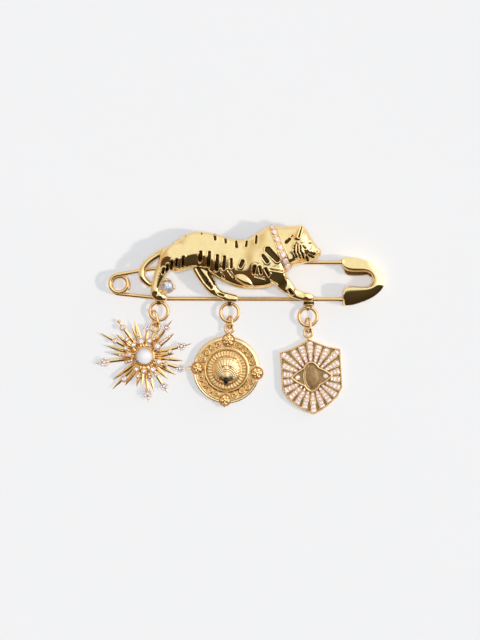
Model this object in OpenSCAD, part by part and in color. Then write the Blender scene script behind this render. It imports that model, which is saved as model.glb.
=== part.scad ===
// Pendant brooch: a kilt pin with a prowling tiger and three drops, lying on its back.
// X runs along the pin towards the clasp, Y up the face, Z out of the face. The back rests on Z = 0.

/* [Wire] */
// Diameter of the pin's wire
wire_d = 1.0; // [0.9:0.05:1.05]
// Radius of the spring coil, to the middle of its wire
coil_r = 2.35; // [2.25:0.05:2.4]
// Height of the fixed wire's middle above the surface it lies on
fixed_z = 1.65; // [1.6:0.05:1.65]
// Height of the sharp arm's middle above that surface
arm_z = 2.75; // [2.75:0.05:2.8]
// Length of the sharpened point
point_len = 6.3; // [6.2:0.1:7.5]

/* [Clasp] */
// Thickness of the clasp's sheet
sheet_t = 0.5; // [0.4:0.05:0.55]
// Height of the clasp's rounded front
clasp_top_z = 4.9; // [4.8:0.05:5.2]

/* [Tiger] */
// Height of the tiger's flat back
tiger_back_z = 4.05; // [3.95:0.05:4.15]
// Depth of the casting as a share of its usual depth
tiger_depth = 1.0; // [0.85:0.05:1.15]
// Width of the neck band
collar_w = 1.9; // [1.7:0.1:2.0]
// Radius of a stone in the neck band
collar_stone_r = 0.68; // [0.5:0.05:0.72]
// Radius of the crystal by the hind foot
crystal_r = 1.7; // [1.5:0.1:1.8]

/* [Rings and links] */
// Thickness of a jump ring's wire
ring_wire_d = 0.82; // [0.78:0.01:0.83]
// Radius of a jump ring, to the middle of its wire
ring_r = 2.42; // [2.38:0.02:2.46]
// Thickness of a link's wire
link_wire_d = 0.6; // [0.56:0.01:0.62]
// Angle that a link's plane stands out of the face
link_tilt = 62; // [60:1:63]

/* [Sunburst drop] */
// Radius of the pearl
pearl_r = 2.2; // [2.0:0.1:2.3]
// Length of the spikes as a share of their usual length
spike_scale = 1.0; // [0.92:0.02:1.04]

/* [Medallion drop] */
// Radius of the medallion's disc
medal_r = 9.05; // [8.9:0.05:9.2]
// Height of the medallion's dome above its back
medal_dome_z = 3.5; // [3.2:0.1:3.8]
// Number of dentils round the dome
dentil_count = 24; // [20:1:28]

/* [Shield drop] */
// Thickness of the shield's plate
shield_t = 0.9; // [0.8:0.05:1.0]
// Height of the shield's border
shield_rim_z = 1.75; // [1.6:0.05:1.9]
// Number of rays round the eye
ray_count = 22; // [18:2:22]

/* [Hidden] */
gold = "goldenrod";
gap = 0.1;
wire_r = wire_d / 2;
// Radius that a sharp point ends in
point_r = 0.12;
// A bend of a wire is this much thinner than its straight runs, whose ends take it in
lap = 0.01;
// How far a bend and a coil turn run into the straight run beside them
bend_lap = 1.5;
coil_lap = 3;

// Middle of the spring coil, and of its back turn, which lies a little lower
coil = [-32.4, 9.75];
back_turn = [-32.15, 9.3];
// Direction in which the sharp arm leaves the coil, and where the stub ends
stub_angle = 10;
stub_len = 4.0;
// Bends of the sharp arm after the stub, and its tip: x, y
arm_bends = [[-24, 13.61], [-14, 14.75], [-4, 15.35], [33.5, 15.35]];
// Fixed wire: direction in which it leaves the coil, its bend and its end in the clasp
lower_angle = -5.8;
wire_bend = [-19.2, 5.63];
wire_end = [33, 5.5];
// How far each turn of the coil runs before it is cut
coil_sweep = 294;

// Jump rings: x and y of the middle
rings = [[-21.7, 2.34], [-2.8, 1.98], [18.2, 0.85]];
ring_z = 1.55;
// Links: x, y, half length to the wire's middle, half width there, turn in the face
links = [[-22.78, 0.39, 2.14, 1.3, 12], [-2.75, -0.64, 1.64, 1.3, 0.5], [18.23, -1.47, 1.92, 1.3, 4.2]];
link_z = 1.48;
// Eyes of the drops: x, y, radius to the wire's middle
eyes = [[-22.75, -1.95, 1.15], [-2.9, -2.35, 1.15], [18.25, -3.45, 1.15]];
eye_wire_d = 0.64;
eye_z = 1.15;

// Middles of the drops
sun = [-25.55, -9.67];
medal = [-3.58, -13.35];
shield_mid = [19.17, -15.22];

// Value at t between b and c on a smooth curve through a, b, c and d
function smooth(a, b, c, d, t) =
    0.5 * (2 * b + (c - a) * t + (2 * a - 5 * b + 4 * c - d) * t * t + (3 * b - a - 3 * c + d) * t * t * t);
// Rows of a table with n smooth steps between neighbours
function refined(rows, n) = concat(
    [for (i = [0 : len(rows) - 2], k = [0 : n - 1])
        smooth(rows[max(i - 1, 0)], rows[i], rows[i + 1], rows[min(i + 2, len(rows) - 1)], k / n)],
    [rows[len(rows) - 1]]);
function polar(r, a) = [r * cos(a), r * sin(a)];

// Closed solid through rings of points, each ring having the same number of them
module loft(sections) {
    n = len(sections[0]);
    last = (len(sections) - 1) * n;
    sides = [for (i = [0 : len(sections) - 2], j = [0 : n - 1], half = [0, 1])
        let (a = i * n + j, b = i * n + (j + 1) % n)
        half == 0 ? [a, b, b + n] : [a, b + n, a + n]];
    ends = concat([for (j = [1 : n - 2]) [0, j + 1, j]], [for (j = [1 : n - 2]) [last, last + j, last + j + 1]]);
    polyhedron(points = [for (s = sections, p = s) p], faces = concat(sides, ends));
}

module ball(p, r, sides) translate(p) sphere(r = r, $fn = sides);

// Direction of a step between two points
function heading(a, b) = atan2(b[1] - a[1], b[0] - a[0]);
// Ring of points round c, upright and square to a heading in the face
function upright_ring(c, h, r, sides) = [for (j = [0 : sides - 1]) let (t = 360 * j / sides)
    [c[0] + r * cos(t) * sin(h), c[1] - r * cos(t) * cos(h), c[2] + r * sin(t)]];
// Smaller ring that rounds off the end of a limb
function end_ring(row, h, side, sides) =
    upright_ring([row[0] + side * 0.6 * row[3] * cos(h), row[1] + side * 0.6 * row[3] * sin(h), row[2]],
        h, 0.7 * row[3], sides);
// Headings along rows of a table
function headings(rows) = let (n = len(rows) - 1)
    [for (i = [0 : n]) heading(rows[max(i - 1, 0)], rows[min(i + 1, n)])];

// Smooth limb that runs along the face. Rows: x, y, z, radius
module limb(rows, sides = 10) {
    path = refined(rows, 1);
    turns = headings(path);
    n = len(path) - 1;
    loft(concat(
        [end_ring(path[0], turns[0], -1, sides)],
        [for (i = [0 : n]) upright_ring(path[i], turns[i], path[i][3], sides)],
        [end_ring(path[n], turns[n], 1, sides)]));
}

// Straight rod with round ends in any direction. Rows: x, y, z, radius
module rod(rows, sides = 8) {
    for (i = [0 : len(rows) - 2]) {
        hull() {
            ball([rows[i][0], rows[i][1], rows[i][2]], rows[i][3], sides);
            ball([rows[i + 1][0], rows[i + 1][1], rows[i + 1][2]], rows[i + 1][3], sides);
        }
    }
}

// Length that a bend takes from each straight run that meets in it
function bend_cut(points, i, bend_r) = i <= 0 || i >= len(points) - 1 ? 0 :
    bend_r * tan(abs(heading(points[i], points[i + 1]) - heading(points[i - 1], points[i])) / 2);

// Round wire at height z through points, with round bends
module wire(points, z, r, bend_r = 12) {
    for (i = [0 : len(points) - 2]) {
        a = points[i];
        b = points[i + 1];
        h = heading(a, b);
        cut_a = bend_cut(points, i, bend_r);
        cut_b = bend_cut(points, i + 1, bend_r);
        translate([a[0], a[1], z]) rotate([0, 0, h]) translate([cut_a, 0, 0]) rotate([0, 90, 0])
            cylinder(r = r, h = norm(b - a) - cut_a - cut_b, $fn = 32);
        if (i > 0) {
            h_in = heading(points[i - 1], a);
            side = h > h_in ? 1 : -1;
            mid = a - polar(cut_a, h_in) + polar(bend_r, h_in + 90 * side);
            translate([mid[0], mid[1], z]) rotate((side > 0 ? h_in - 90 : h + 90) - bend_lap)
                rotate_extrude(angle = abs(h - h_in) + 2 * bend_lap, $fn = 360)
                    translate([bend_r, 0]) circle(r = r - lap, $fn = 32);
        }
    }
}

module round_ring(r, wire_radius) {
    rotate_extrude($fn = 64) translate([r, 0]) circle(r = wire_radius, $fn = 24);
}

// Cut stone with a table, crown facets and pavilion facets, girdle at Z = 0
module brilliant(r, sides = 8) {
    step = 360 / sides;
    table = [for (k = [0 : sides - 1]) concat(polar(0.56 * r, step * (k + 0.5)), 0.34 * r)];
    girdle = [for (k = [0 : sides - 1]) concat(polar(r, step * k), 0)];
    hull() polyhedron(points = concat(table, girdle, [[0, 0, -0.62 * r]]),
        faces = concat([[for (k = [sides - 1 : -1 : 0]) k]],
            [for (k = [0 : sides - 1]) [k, (k + 1) % sides, sides + (k + 1) % sides]],
            [for (k = [0 : sides - 1]) [sides + k, k, sides + (k + 1) % sides]],
            [for (k = [0 : sides - 1]) [sides + k, sides + (k + 1) % sides, 2 * sides]]));
}

// Hollow that seats a stone of radius r with its girdle at Z = 0
module stone_seat(r, above = 0.15) {
    deep = 0.62 * (r + gap);
    translate([0, 0, -deep]) cylinder(r1 = 0, r2 = (deep + above) / 0.62, h = deep + above, $fn = 8);
}

// The pin

function coil_tangent(mid, a) = mid + polar(coil_r, a);
stub_start = coil_tangent(coil, 90 + stub_angle);
stub_end = stub_start + polar(stub_len, stub_angle);
arm_start = stub_end + polar(gap / 2, stub_angle);

module coil_arc(mid, z, from, sweep) {
    translate([mid[0], mid[1], z]) rotate(from)
        rotate_extrude(angle = sweep, $fn = 96) translate([coil_r, 0]) circle(r = wire_r - lap, $fn = 32);
}

// Route of the fixed wire after its coil turn
fixed_route = [coil_tangent(back_turn, lower_angle - 90), wire_bend, wire_end];

module fixed_wire() {
    color(gold) {
        coil_arc(back_turn, fixed_z, lower_angle - 90 - coil_sweep, coil_sweep + coil_lap);
        wire(fixed_route, fixed_z, wire_r);
        // Soldered collar where the wire enters the clasp
        translate([26.6, 5.51, fixed_z]) rotate([0, 90, 0]) cylinder(r = wire_r + 0.18, h = 0.75, $fn = 32);
    }
}

module spring_coil() {
    color(gold) {
        coil_arc(coil, arm_z, 90 + stub_angle - coil_lap, coil_sweep + coil_lap);
        wire([stub_start, stub_end], arm_z, wire_r);
    }
}

module pin_arm() {
    tip = arm_bends[3];
    color(gold) {
        wire(concat([arm_start], [arm_bends[0], arm_bends[1], arm_bends[2]], [tip - [point_len, 0]]), arm_z, wire_r);
        translate([tip[0] - point_len - gap, tip[1], arm_z]) rotate([0, 90, 0])
            cylinder(r1 = wire_r - lap, r2 = point_r, h = point_len + gap, $fn = 32);
    }
}

// The clasp

// Middle line of the horseshoe: x, y, half width
clasp_path = [[27.4, 15.15, 1.3], [28.8, 15.0, 1.75], [31.4, 14.95, 1.85], [34.3, 14.2, 1.8], [36.3, 12.5, 1.5],
    [37.25, 10.3, 1.3], [36.6, 8.2, 1.65], [34.8, 6.95, 2.1], [32, 6.5, 2.4], [29.9, 6.4, 2.5], [27.5, 6.1, 2.2]];
// Where the upright sides end and the rounded front begins
shoulder_z = 3.4;
arm_y = arm_bends[3][1];
// Space round the sharp arm where it lies in the clasp
arm_room = 0.3;

// Section across the clasp at a row: rounded in front, flat behind
function cap_section(row, h, inset, base_z) = let (w = row[2] - inset, dome = clasp_top_z - shoulder_z - inset)
    [for (p = concat(
        [for (t = [0 : 22.5 : 180]) [w * cos(t), shoulder_z + dome * sin(t)]],
        [[-w, base_z + 0.4], [-w + 0.3, base_z], [w - 0.3, base_z], [w, base_z + 0.4]]))
        [row[0] + p[0] * sin(h), row[1] - p[0] * cos(h), p[1]]];

module cap_body(rows, inset, base_z) {
    path = refined(rows, 2);
    turns = headings(path);
    loft([for (i = [0 : len(path) - 1]) cap_section(path[i], turns[i], inset, base_z)]);
}

module clasp_cap() {
    arm_rows = concat([[26.5, 15.2, 1.3]], [for (i = [0 : 3]) clasp_path[i]], [[35.3, 13.5, 1.2]]);
    color(gold) difference() {
        union() {
            cap_body(clasp_path, 0, 0);
            // Back sheet with the hook that keeps the sharp arm in
            linear_extrude(sheet_t)
                polygon([[27.9, 14.6], [27.9, 13.6], [28.3, 12.5], [29.2, 11.95], [31, 12.0], [33.8, 12.1],
                    [35.2, 11.5], [36.8, 11.6], [36.2, 13.6], [34, 14.6]]);
        }
        // Hollow that the sharp arm lies in
        cap_body(arm_rows, sheet_t, sheet_t);
        // The front sheet stands clear of the back sheet along the notch
        translate([26, 10.5, sheet_t]) cube([9.1, arm_y - 10.5, shoulder_z - 0.05 - sheet_t]);
        // Slot in the back that lets the arm out
        translate([26, arm_y - wire_r - arm_room, -1]) cube([8.4, wire_d + 2 * arm_room, arm_z + 1]);
        // Bore round the fixed wire's end
        translate([26, wire_end[1], fixed_z]) rotate([0, 90, 0])
            cylinder(r = wire_r + 0.05, h = wire_end[0] + wire_r + 0.05 - 26, $fn = 20);
    }
}

// The tiger

// Body and head along X: x, top edge, bottom edge, depth in front of the flat back
torso = [
    [-20.3, 18.3, 15.6, 1.3],
    [-18.7, 19.9, 13.4, 2.9],
    [-16.5, 21.5, 12.8, 3.6],
    [-14.4, 22.8, 13.3, 3.7],
    [-11.7, 23.5, 13.9, 3.5],
    [-9.1, 23.4, 13.2, 3.4],
    [-6.4, 22.9, 11.3, 3.4],
    [-3.7, 22.1, 9.9, 3.5],
    [-1.1, 21.4, 8.8, 3.7],
    [1.6, 21.5, 8.3, 4.0],
    [4.3, 23.0, 8.3, 4.4],
    [6.9, 24.6, 8.5, 4.7],
    [9.1, 24.9, 9.4, 4.7],
    [10.9, 24.9, 11.7, 4.5],
    [12.8, 25.0, 13.6, 4.3],
    [14.6, 25.1, 14.6, 4.5],
    [16.2, 25.0, 14.9, 4.6],
    [17.6, 24.2, 15.2, 4.3],
    [19.0, 22.0, 15.6, 3.6],
    [20.3, 19.9, 16.3, 2.6],
    [21.2, 18.9, 16.9, 1.7],
    [21.6, 18.4, 17.5, 0.7]];
stations = refined(torso, 2);
arc_steps = 10;
// Tail from rump to tip, and the three legs: x, y, z, radius
tail = [[-18.6, 18.4, 5.3, 1.2], [-20.6, 18.0, 4.95, 0.9], [-22.5, 17.0, 4.85, 0.78], [-24.3, 15.7, 4.8, 0.76],
    [-25.7, 14.1, 4.8, 0.76], [-26.2, 12.5, 4.75, 0.76], [-25.9, 11.1, 4.6, 0.76], [-25.0, 10.1, 4.2, 0.72],
    [-23.8, 9.3, 3.8, 0.6]];
hind_leg = [[-15.6, 18.2, 5.5, 2.4], [-17.6, 16.2, 5.4, 2.6], [-19.8, 13.2, 5.0, 1.75], [-21.5, 10.9, 4.6, 1.2],
    [-22.6, 9.0, 4.3, 0.95], [-22.75, 7.6, 4.0, 0.95], [-22.2, 6.6, 3.5, 0.95], [-21.0, 6.3, 3.2, 0.8]];
far_leg = [[-11.4, 15.2, 5.1, 1.8], [-9.9, 12.4, 4.7, 1.9], [-8.3, 9.9, 4.1, 1.7], [-7.1, 8.0, 3.6, 1.3],
    [-5.3, 6.8, 3.35, 1.0], [-3.5, 6.1, 3.3, 1.1], [-1.4, 5.75, 3.2, 1.0]];
fore_leg = [[8.0, 17.2, 6.0, 2.2], [8.5, 14.4, 5.9, 2.2], [10.3, 11.4, 5.4, 1.9], [11.8, 9.5, 4.7, 1.35],
    [13.2, 8.2, 4.0, 1.1], [14.5, 7.0, 3.5, 0.95], [16.1, 6.3, 3.3, 0.88], [18.0, 6.1, 3.3, 0.85],
    [19.0, 6.0, 3.2, 0.75]];
// Ear, and a row of brow, with heights measured from the flat back
ear = [[15.3, 22.0, 3.8, 1.1], [16.0, 23.8, 3.7, 0.8], [16.4, 24.9, 3.5, 0.45]];
brow = [[16.3, 20.6, 4.2, 0.5], [18.6, 20.6, 3.4, 0.45]];
// Crystal by the hind foot, and how far its seat is turned
crystal = [-19.4, 9.0, 3.3];
prong_turn = 116;

// Body section at x, between the two nearest stations
function station(x) = [x,
    lookup(x, [for (s = stations) [s[0], s[1]]]),
    lookup(x, [for (s = stations) [s[0], s[2]]]),
    lookup(x, [for (s = stations) [s[0], s[3]]])];
// Point on the body's skin at x, an angle from its top edge, and a stand-off
function skin(x, a, off) = let (s = station(x)) [
    x,
    (s[1] + s[2]) / 2 + ((s[1] - s[2]) / 2 + off) * cos(a),
    tiger_back_z + (s[3] * tiger_depth + off) * pow(max(sin(a), 0), 0.85)];

module torso_solid() {
    loft([for (s = stations) [for (k = [arc_steps : -1 : 0]) skin(s[0], 180 * k / arc_steps, 0)]]);
}

// Plate under a paw: one eye round the fixed wire and one that holds a jump ring
module hanger(x, wire_y, ring_y, width) {
    ring_hole = ring_wire_d / 2 + gap;
    difference() {
        translate([x - width / 2, 0, 0]) rotate([0, 90, 0]) hull() {
            translate([-fixed_z, wire_y, 0]) cylinder(r = wire_r + 0.5, h = width, $fn = 16);
            translate([-ring_z, ring_y, 0]) cylinder(r = ring_hole + 0.33, h = width, $fn = 16);
            translate([-3.2, wire_y, 0]) cylinder(r = 0.5, h = width, $fn = 10);
        }
        translate([x - width, 0, 0]) rotate([0, 90, 0]) hull() {
            translate([-ring_z, ring_y, 0]) cylinder(r = ring_hole, h = 2 * width, $fn = 16);
            translate([-ring_z, min(wire_y, ring_y + 0.3), 0]) cylinder(r = ring_hole, h = 2 * width, $fn = 16);
        }
    }
}

module crystal_seat() {
    tip_r = crystal_r + 0.3;
    translate([crystal[0], crystal[1], 0]) {
        difference() {
            translate([0, 0, 1.6]) cylinder(r = 1.2, h = 1.2, $fn = 12);
            translate([0, 0, 1]) cylinder(r = 0.6, h = 3, $fn = 8);
        }
        for (k = [0 : 2]) {
            rotate(prong_turn + 120 * k) rod([[1.0, 0, 2.1, 0.3], [tip_r, 0, crystal[2], 0.27],
                [crystal_r - 0.1, 0, crystal[2] + 0.85, 0.22]]);
        }
    }
    // Struts to the leg
    rod([[crystal[0] - 0.9, crystal[1] + 0.5, 2.2, 0.4], [-21.6, 9.9, 3.4, 0.5]]);
    rod([[crystal[0] - 0.8, crystal[1] - 0.7, 2.2, 0.4], [-22.0, 7.2, 3.0, 0.5]]);
}

// Room for the fixed wire in the paws
module wire_room() {
    for (i = [0, 1]) {
        a = fixed_route[i];
        b = fixed_route[i + 1];
        translate([a[0], a[1], fixed_z]) rotate([0, 0, heading(a, b)]) rotate([0, 90, 0])
            cylinder(r = wire_r + gap, h = norm(b - a), $fn = 12);
    }
}

module tiger() {
    color(gold) {
        difference() {
            union() {
                torso_solid();
                limb(tail, 8);
                limb(hind_leg);
                limb(far_leg, 8);
                limb(fore_leg);
                translate([0, 0, tiger_back_z]) {
                    limb(ear, 8);
                    rod(brow);
                    // Cheek and nose
                    ball([15.6, 17.6, 3.9], 1.1, 8);
                    ball([21.2, 18.4, 1.1], 0.5, 8);
                }
                for (i = [0 : 1]) {
                    hanger(rings[i][0], i == 0 ? 5.88 : 5.6, rings[i][1] + ring_r, 1.2);
                }
                hanger(rings[2][0], 5.5, rings[2][1] + ring_r, 0.8);
                // Round bead under the fore paw
                translate([rings[2][0] + 0.2, 4.55, 2.7]) scale([1.45, 0.95, 0.9]) sphere(r = 1, $fn = 10);
                crystal_seat();
            }
            // Room for the sharp arm behind the body, also when it is pressed in
            translate([-30, 10.7, -1]) cube([56, 15, tiger_back_z + 1]);
            wire_room();
            translate(crystal) stone_seat(crystal_r);
            // Open mouth
            translate([0, 0, tiger_back_z + 1.9]) hull() {
                translate([17.1, 16.2, 0]) cylinder(r = 0.7, h = 5, $fn = 10);
                translate([19.6, 17.2, 0]) cylinder(r = 0.3, h = 5, $fn = 10);
            }
        }
    }
}

// Middle of the neck band at an angle from its top end: it slants down and forwards
function collar_x(a) = 8.3 + 4.7 * pow(sin(a / 2), 1.6);
collar_stone_angles = [for (k = [0 : 7]) 16 + 21.2 * k];
// How far the band's inner and outer faces stand off the skin
collar_in = 0.14;
collar_out = 0.46;

module collar_band() {
    loft([for (k = [arc_steps : -1 : 0]) let (a = 180 * k / arc_steps, x = collar_x(a)) [
        skin(x - collar_w / 2, a, collar_in), skin(x + collar_w / 2, a, collar_in),
        skin(x + collar_w / 2, a, collar_out), skin(x - collar_w / 2, a, collar_out)]]);
}

module at_collar(a) {
    translate(skin(collar_x(a), a, collar_out)) rotate([a - 90, 0, 0]) children();
}

module collar() {
    color(gold) difference() {
        collar_band();
        for (a = collar_stone_angles) {
            at_collar(a) translate([0, 0, 0.1]) stone_seat(collar_stone_r, 0.45);
        }
        // The band ends at the flat back
        translate([4, 0, -2]) cube([12, 30, 2 + tiger_back_z]);
    }
}

module collar_stones() {
    color("mistyrose") for (a = collar_stone_angles) {
        at_collar(a) translate([0, 0, 0.1]) brilliant(collar_stone_r);
    }
}

module leg_crystal() {
    color("lightcyan") translate(crystal) brilliant(crystal_r);
}

// Rings and links

module jump_ring(i) {
    color(gold) translate([rings[i][0], rings[i][1], ring_z]) round_ring(ring_r, ring_wire_d / 2);
}

// Oval link, its plane turned out of the face
module link(i) {
    half_l = links[i][2];
    half_w = links[i][3];
    straight = half_l - half_w;
    r = link_wire_d / 2;
    color(gold) translate([links[i][0], links[i][1], link_z]) rotate([0, -link_tilt, links[i][4]]) {
        for (side = [1, -1]) {
            translate([0, side * straight, 0]) rotate(side == 1 ? 0 : 180)
                rotate_extrude(angle = 180, $fn = 48) translate([half_w, 0]) circle(r = r, $fn = 20);
            translate([side * half_w, -straight, 0]) rotate([-90, 0, 0])
                cylinder(r = r, h = 2 * straight, $fn = 20);
        }
    }
}

module jump_ring_1() { jump_ring(0); }
module jump_ring_2() { jump_ring(1); }
module jump_ring_3() { jump_ring(2); }
module link_1() { link(0); }
module link_2() { link(1); }
module link_3() { link(2); }

module drop_eye(i) {
    translate([eyes[i][0], eyes[i][1], eye_z])
        rotate_extrude($fn = 16) translate([eyes[i][2], 0]) circle(r = eye_wire_d / 2, $fn = 6);
}

// The sunburst

// Spikes: angle, length, half width at the hub, height of the tip
spikes = [
    [5, 8.0, 0.75, 1.9], [15, 12.9, 0.5, 1.0], [37.5, 9.9, 0.95, 1.6], [52.6, 12.0, 0.55, 1.0],
    [84, 8.4, 0.6, 1.1], [105.5, 9.9, 0.9, 1.5], [114, 8.6, 0.6, 1.0], [127, 11.8, 0.5, 1.0],
    [142, 9.5, 0.9, 1.5], [152.6, 13.3, 0.55, 0.9], [164.6, 10.4, 0.7, 1.3], [175.4, 9.0, 0.8, 1.7],
    [188.5, 13.13, 0.55, 0.9], [216.7, 10.4, 0.7, 1.2], [225.7, 12.3, 0.6, 0.8], [236.4, 9.4, 0.9, 1.5],
    [255, 8.4, 0.7, 1.2], [264, 8.3, 0.6, 1.7], [274.7, 12.4, 0.55, 0.9], [285.1, 9.8, 0.6, 1.4],
    [302.2, 11.7, 0.5, 1.0], [316, 8.8, 0.7, 1.5], [329.2, 9.8, 0.8, 1.5], [340.7, 11.0, 0.5, 1.0],
    [353.2, 10.3, 0.6, 1.5]];
// Stones on the spikes and round the pearl: angle, distance, radius, height
sun_stones = [
    [152.6, 8.9, 0.6, 1.75], [188.5, 10.6, 0.6, 1.6], [228, 8.2, 0.8, 1.9], [274.3, 9.8, 0.65, 1.7],
    [302.6, 9.6, 0.65, 1.7], [340.7, 10.1, 0.65, 1.7], [14.8, 10.2, 0.65, 1.7], [52.8, 9.6, 0.65, 1.7],
    [84.3, 7.3, 0.7, 1.8], [127.5, 9.6, 0.55, 1.7], [136.5, 6.5, 0.5, 2.2], [104, 4.1, 0.75, 2.5],
    [73, 4.3, 0.65, 2.5], [38, 4.3, 0.8, 2.5], [338, 4.1, 0.75, 2.5], [302, 4.2, 0.7, 2.5],
    [268, 4.0, 0.6, 2.5], [238, 4.1, 0.65, 2.5], [174.6, 4.0, 0.6, 2.5], [157, 5.5, 0.5, 2.2],
    [106.7, 5.9, 0.5, 2.3], [252.5, 5.6, 0.5, 2.2], [340, 6.1, 0.5, 2.2], [11, 6.9, 0.5, 2.3],
    [302, 5.8, 0.45, 2.2], [135, 4.2, 0.6, 2.5]];
hub_r = 3.3;
hub_z = 1.2;

module at_sun(a, r, z) {
    translate([sun[0], sun[1], 0]) rotate(a) translate([r, 0, z]) children();
}

module spike(a, length, half_w, tip_z) {
    reach = length * spike_scale - 1.2;
    rise = atan2(tip_z - hub_z, reach);
    at_sun(a, 1.2, hub_z) rotate([0, 90 - rise, 0]) scale([0.8, 1, 1]) rotate(45)
        cylinder(r1 = half_w * 1.3, r2 = point_r, h = norm([reach, tip_z - hub_z]), $fn = 4);
}

module sunburst() {
    color(gold) difference() {
        union() {
            for (s = spikes) {
                spike(s[0], s[1], s[2], s[3]);
            }
            // Hub with the crown that carries the inner stones
            translate([sun[0], sun[1], 0]) cylinder(r = hub_r, h = 1.7, $fn = 16);
            for (s = sun_stones) {
                hull() {
                    at_sun(s[0], s[1] * spike_scale, s[3] - 0.15) cylinder(r = s[2] + 0.3, h = 0.15, $fn = 6);
                    at_sun(s[0], s[1] * spike_scale, s[3] > 2 ? 1.0 : 0.8) cylinder(r = 0.55 * s[2], h = 0.1, $fn = 6);
                }
            }
            // Ball tip of one spike, and the stem of the eye
            ball(concat(sun + polar(11.6, 126.6), 1.0), 0.5, 8);
            drop_eye(0);
            rod([[sun[0] + 1.2, sun[1] + 3.2, 1.1, 0.6], [eyes[0][0] - 0.25, eyes[0][1] - 1.3, eye_z, 0.5]]);
        }
        for (s = sun_stones) {
            at_sun(s[0], s[1] * spike_scale, s[3]) stone_seat(s[2]);
        }
        // Cup for the pearl
        ball(concat(sun, 2.7), pearl_r + gap, 14);
        // The back is flat
        translate([sun[0] - 20, sun[1] - 20, -5]) cube([40, 40, 5]);
    }
}

module pearl() {
    color("ivory") translate(concat(sun, 2.7)) sphere(r = pearl_r, $fn = 48);
}

module sunburst_stones() {
    color("lavenderblush") for (s = sun_stones) {
        at_sun(s[0], s[1] * spike_scale, s[3]) brilliant(s[2]);
    }
}

// The medallion

medal_turn = -3.3;
// Rim, ornament floor, inner ring and dome, as radius and height
medal_profile = [
    [0, 0], [medal_r - 0.75, 0], [medal_r - 0.1, 0.6], [medal_r - 0.1, 1.5], [medal_r - 0.8, 1.85],
    [7.9, 1.4], [6.2, 1.4], [5.95, 1.85], [5.6, 1.85], [5.4, 1.35], [4.5, 1.35], [4.1, 1.9],
    [3.2, medal_dome_z - 0.6], [1.7, medal_dome_z - 0.12], [0, medal_dome_z]];
// Lobes: direction, reach of the point
lobes = [[0, 10.15], [90, 9.5], [180, 11.1], [270, 10.2]];
lobe_mid = 8.1;
nose = [0.0, -2.75, medal_dome_z - 0.45];

module scroll(r, a, turn, size) {
    rotate(a) translate([r, 0, 1.45]) rotate(turn)
        rotate_extrude(angle = 250, $fn = 8) translate([size, 0]) rotate(90) circle(r = 0.38, $fn = 3);
}

module animal_face() {
    top = medal_dome_z;
    // Brow, cheeks, muzzle and chin
    for (side = [1, -1]) {
        rod([[side * 0.5, 0.3, top - 0.25, 0.45], [side * 1.5, 1.4, top - 0.6, 0.4]], 6);
        rod([[side * 0.75, -2.6, top - 0.55, 0.75], [side * 1.5, -2.2, top - 0.8, 0.6]], 6);
        ball([side * 2.5, 2.3, top - 0.9], 0.6, 6);
    }
    rod([[0, 0.4, top - 0.35, 0.55], [0, -1.6, top - 0.25, 0.6]], 6);
    ball([0, -3.6, top - 1.0], 0.6, 6);
}

module medallion() {
    color(gold) difference() {
        union() {
            translate([medal[0], medal[1], 0]) rotate(medal_turn) {
                rotate_extrude($fn = 30) polygon(medal_profile);
                for (k = [0 : dentil_count - 1]) {
                    rotate(360 * k / dentil_count) translate([4.55, -0.35, 1.2]) cube([0.75, 0.7, 0.55]);
                }
                for (q = [0 : 3]) {
                    for (k = [-1, 0, 1]) {
                        scroll(7.0, 45 + 90 * q + 17 * k, k == 0 ? 60 : 100 * k, 0.62);
                    }
                }
                for (l = lobes) {
                    rotate(l[0]) hull() {
                        translate([lobe_mid, 0, 0]) cylinder(r = 1.4, h = 2.1, $fn = 12);
                        translate([l[1] - 0.2, 0, 0.4]) cylinder(r = 0.2, h = 1.0, $fn = 6);
                    }
                    rotate(l[0]) for (p = [0 : 4]) {
                        translate([lobe_mid, 0, 2.0]) rotate(72 * p) translate([0.72, 0, 0])
                            cylinder(r1 = 0.42, r2 = 0, h = 0.4, $fn = 5);
                    }
                }
                animal_face();
            }
            drop_eye(1);
            rod([[medal[0] + 0.55, medal[1] + 9.2, 1.1, 0.7], [eyes[1][0], eyes[1][1] - 1.35, eye_z, 0.5]]);
        }
        translate([medal[0], medal[1], 0]) rotate(medal_turn) translate(nose)
            scale([0.75 + gap, 1.05 + gap, 0.7 + gap]) sphere(r = 1, $fn = 10);
        translate([medal[0] - 20, medal[1] - 20, -5]) cube([40, 40, 5]);
    }
}

module medallion_nose() {
    color("black") translate([medal[0], medal[1], 0]) rotate(medal_turn) translate(nose)
        scale([0.75, 1.05, 0.7]) sphere(r = 1, $fn = 16);
}

// The shield

shield_turn = 3.3;
shield_top = 10.2;
shield_half_w = 8.1;
shoulder_y = 7.1;
hip_y = -3.1;
shoulder_sag = 0.55;
hip_swell = 0.75;
// Eye: half length of the lids, half height of the lids, half width and half height of the iris
lid_l = 5.15;
lid_h = 2.3;
iris = [2.15, 3.6];

// Points from a to b on a curve that stands off the straight line by sag at its middle
function bowed(a, b, sag, steps) = let (d = b - a, n = [-d[1], d[0]] / norm(d))
    [for (k = [0 : steps - 1]) a + d * k / steps + n * 4 * sag * (k / steps) * (1 - k / steps)];
function shield_outline(inset) = let (
    top = [0, shield_top - 1.15 * inset],
    shoulder = [shield_half_w - inset, shoulder_y - inset],
    hip = [shield_half_w - inset, hip_y + 0.4 * inset],
    bottom = [0, -shield_top + 1.3 * inset])
    concat(
        bowed(top, shoulder, -shoulder_sag, 4),
        bowed(shoulder, hip, 0, 1),
        bowed(hip, bottom, hip_swell, 5),
        bowed(bottom, [-hip[0], hip[1]], hip_swell, 5),
        bowed([-hip[0], hip[1]], [-shoulder[0], shoulder[1]], 0, 1),
        bowed([-shoulder[0], shoulder[1]], top, -shoulder_sag, 4));

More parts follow.
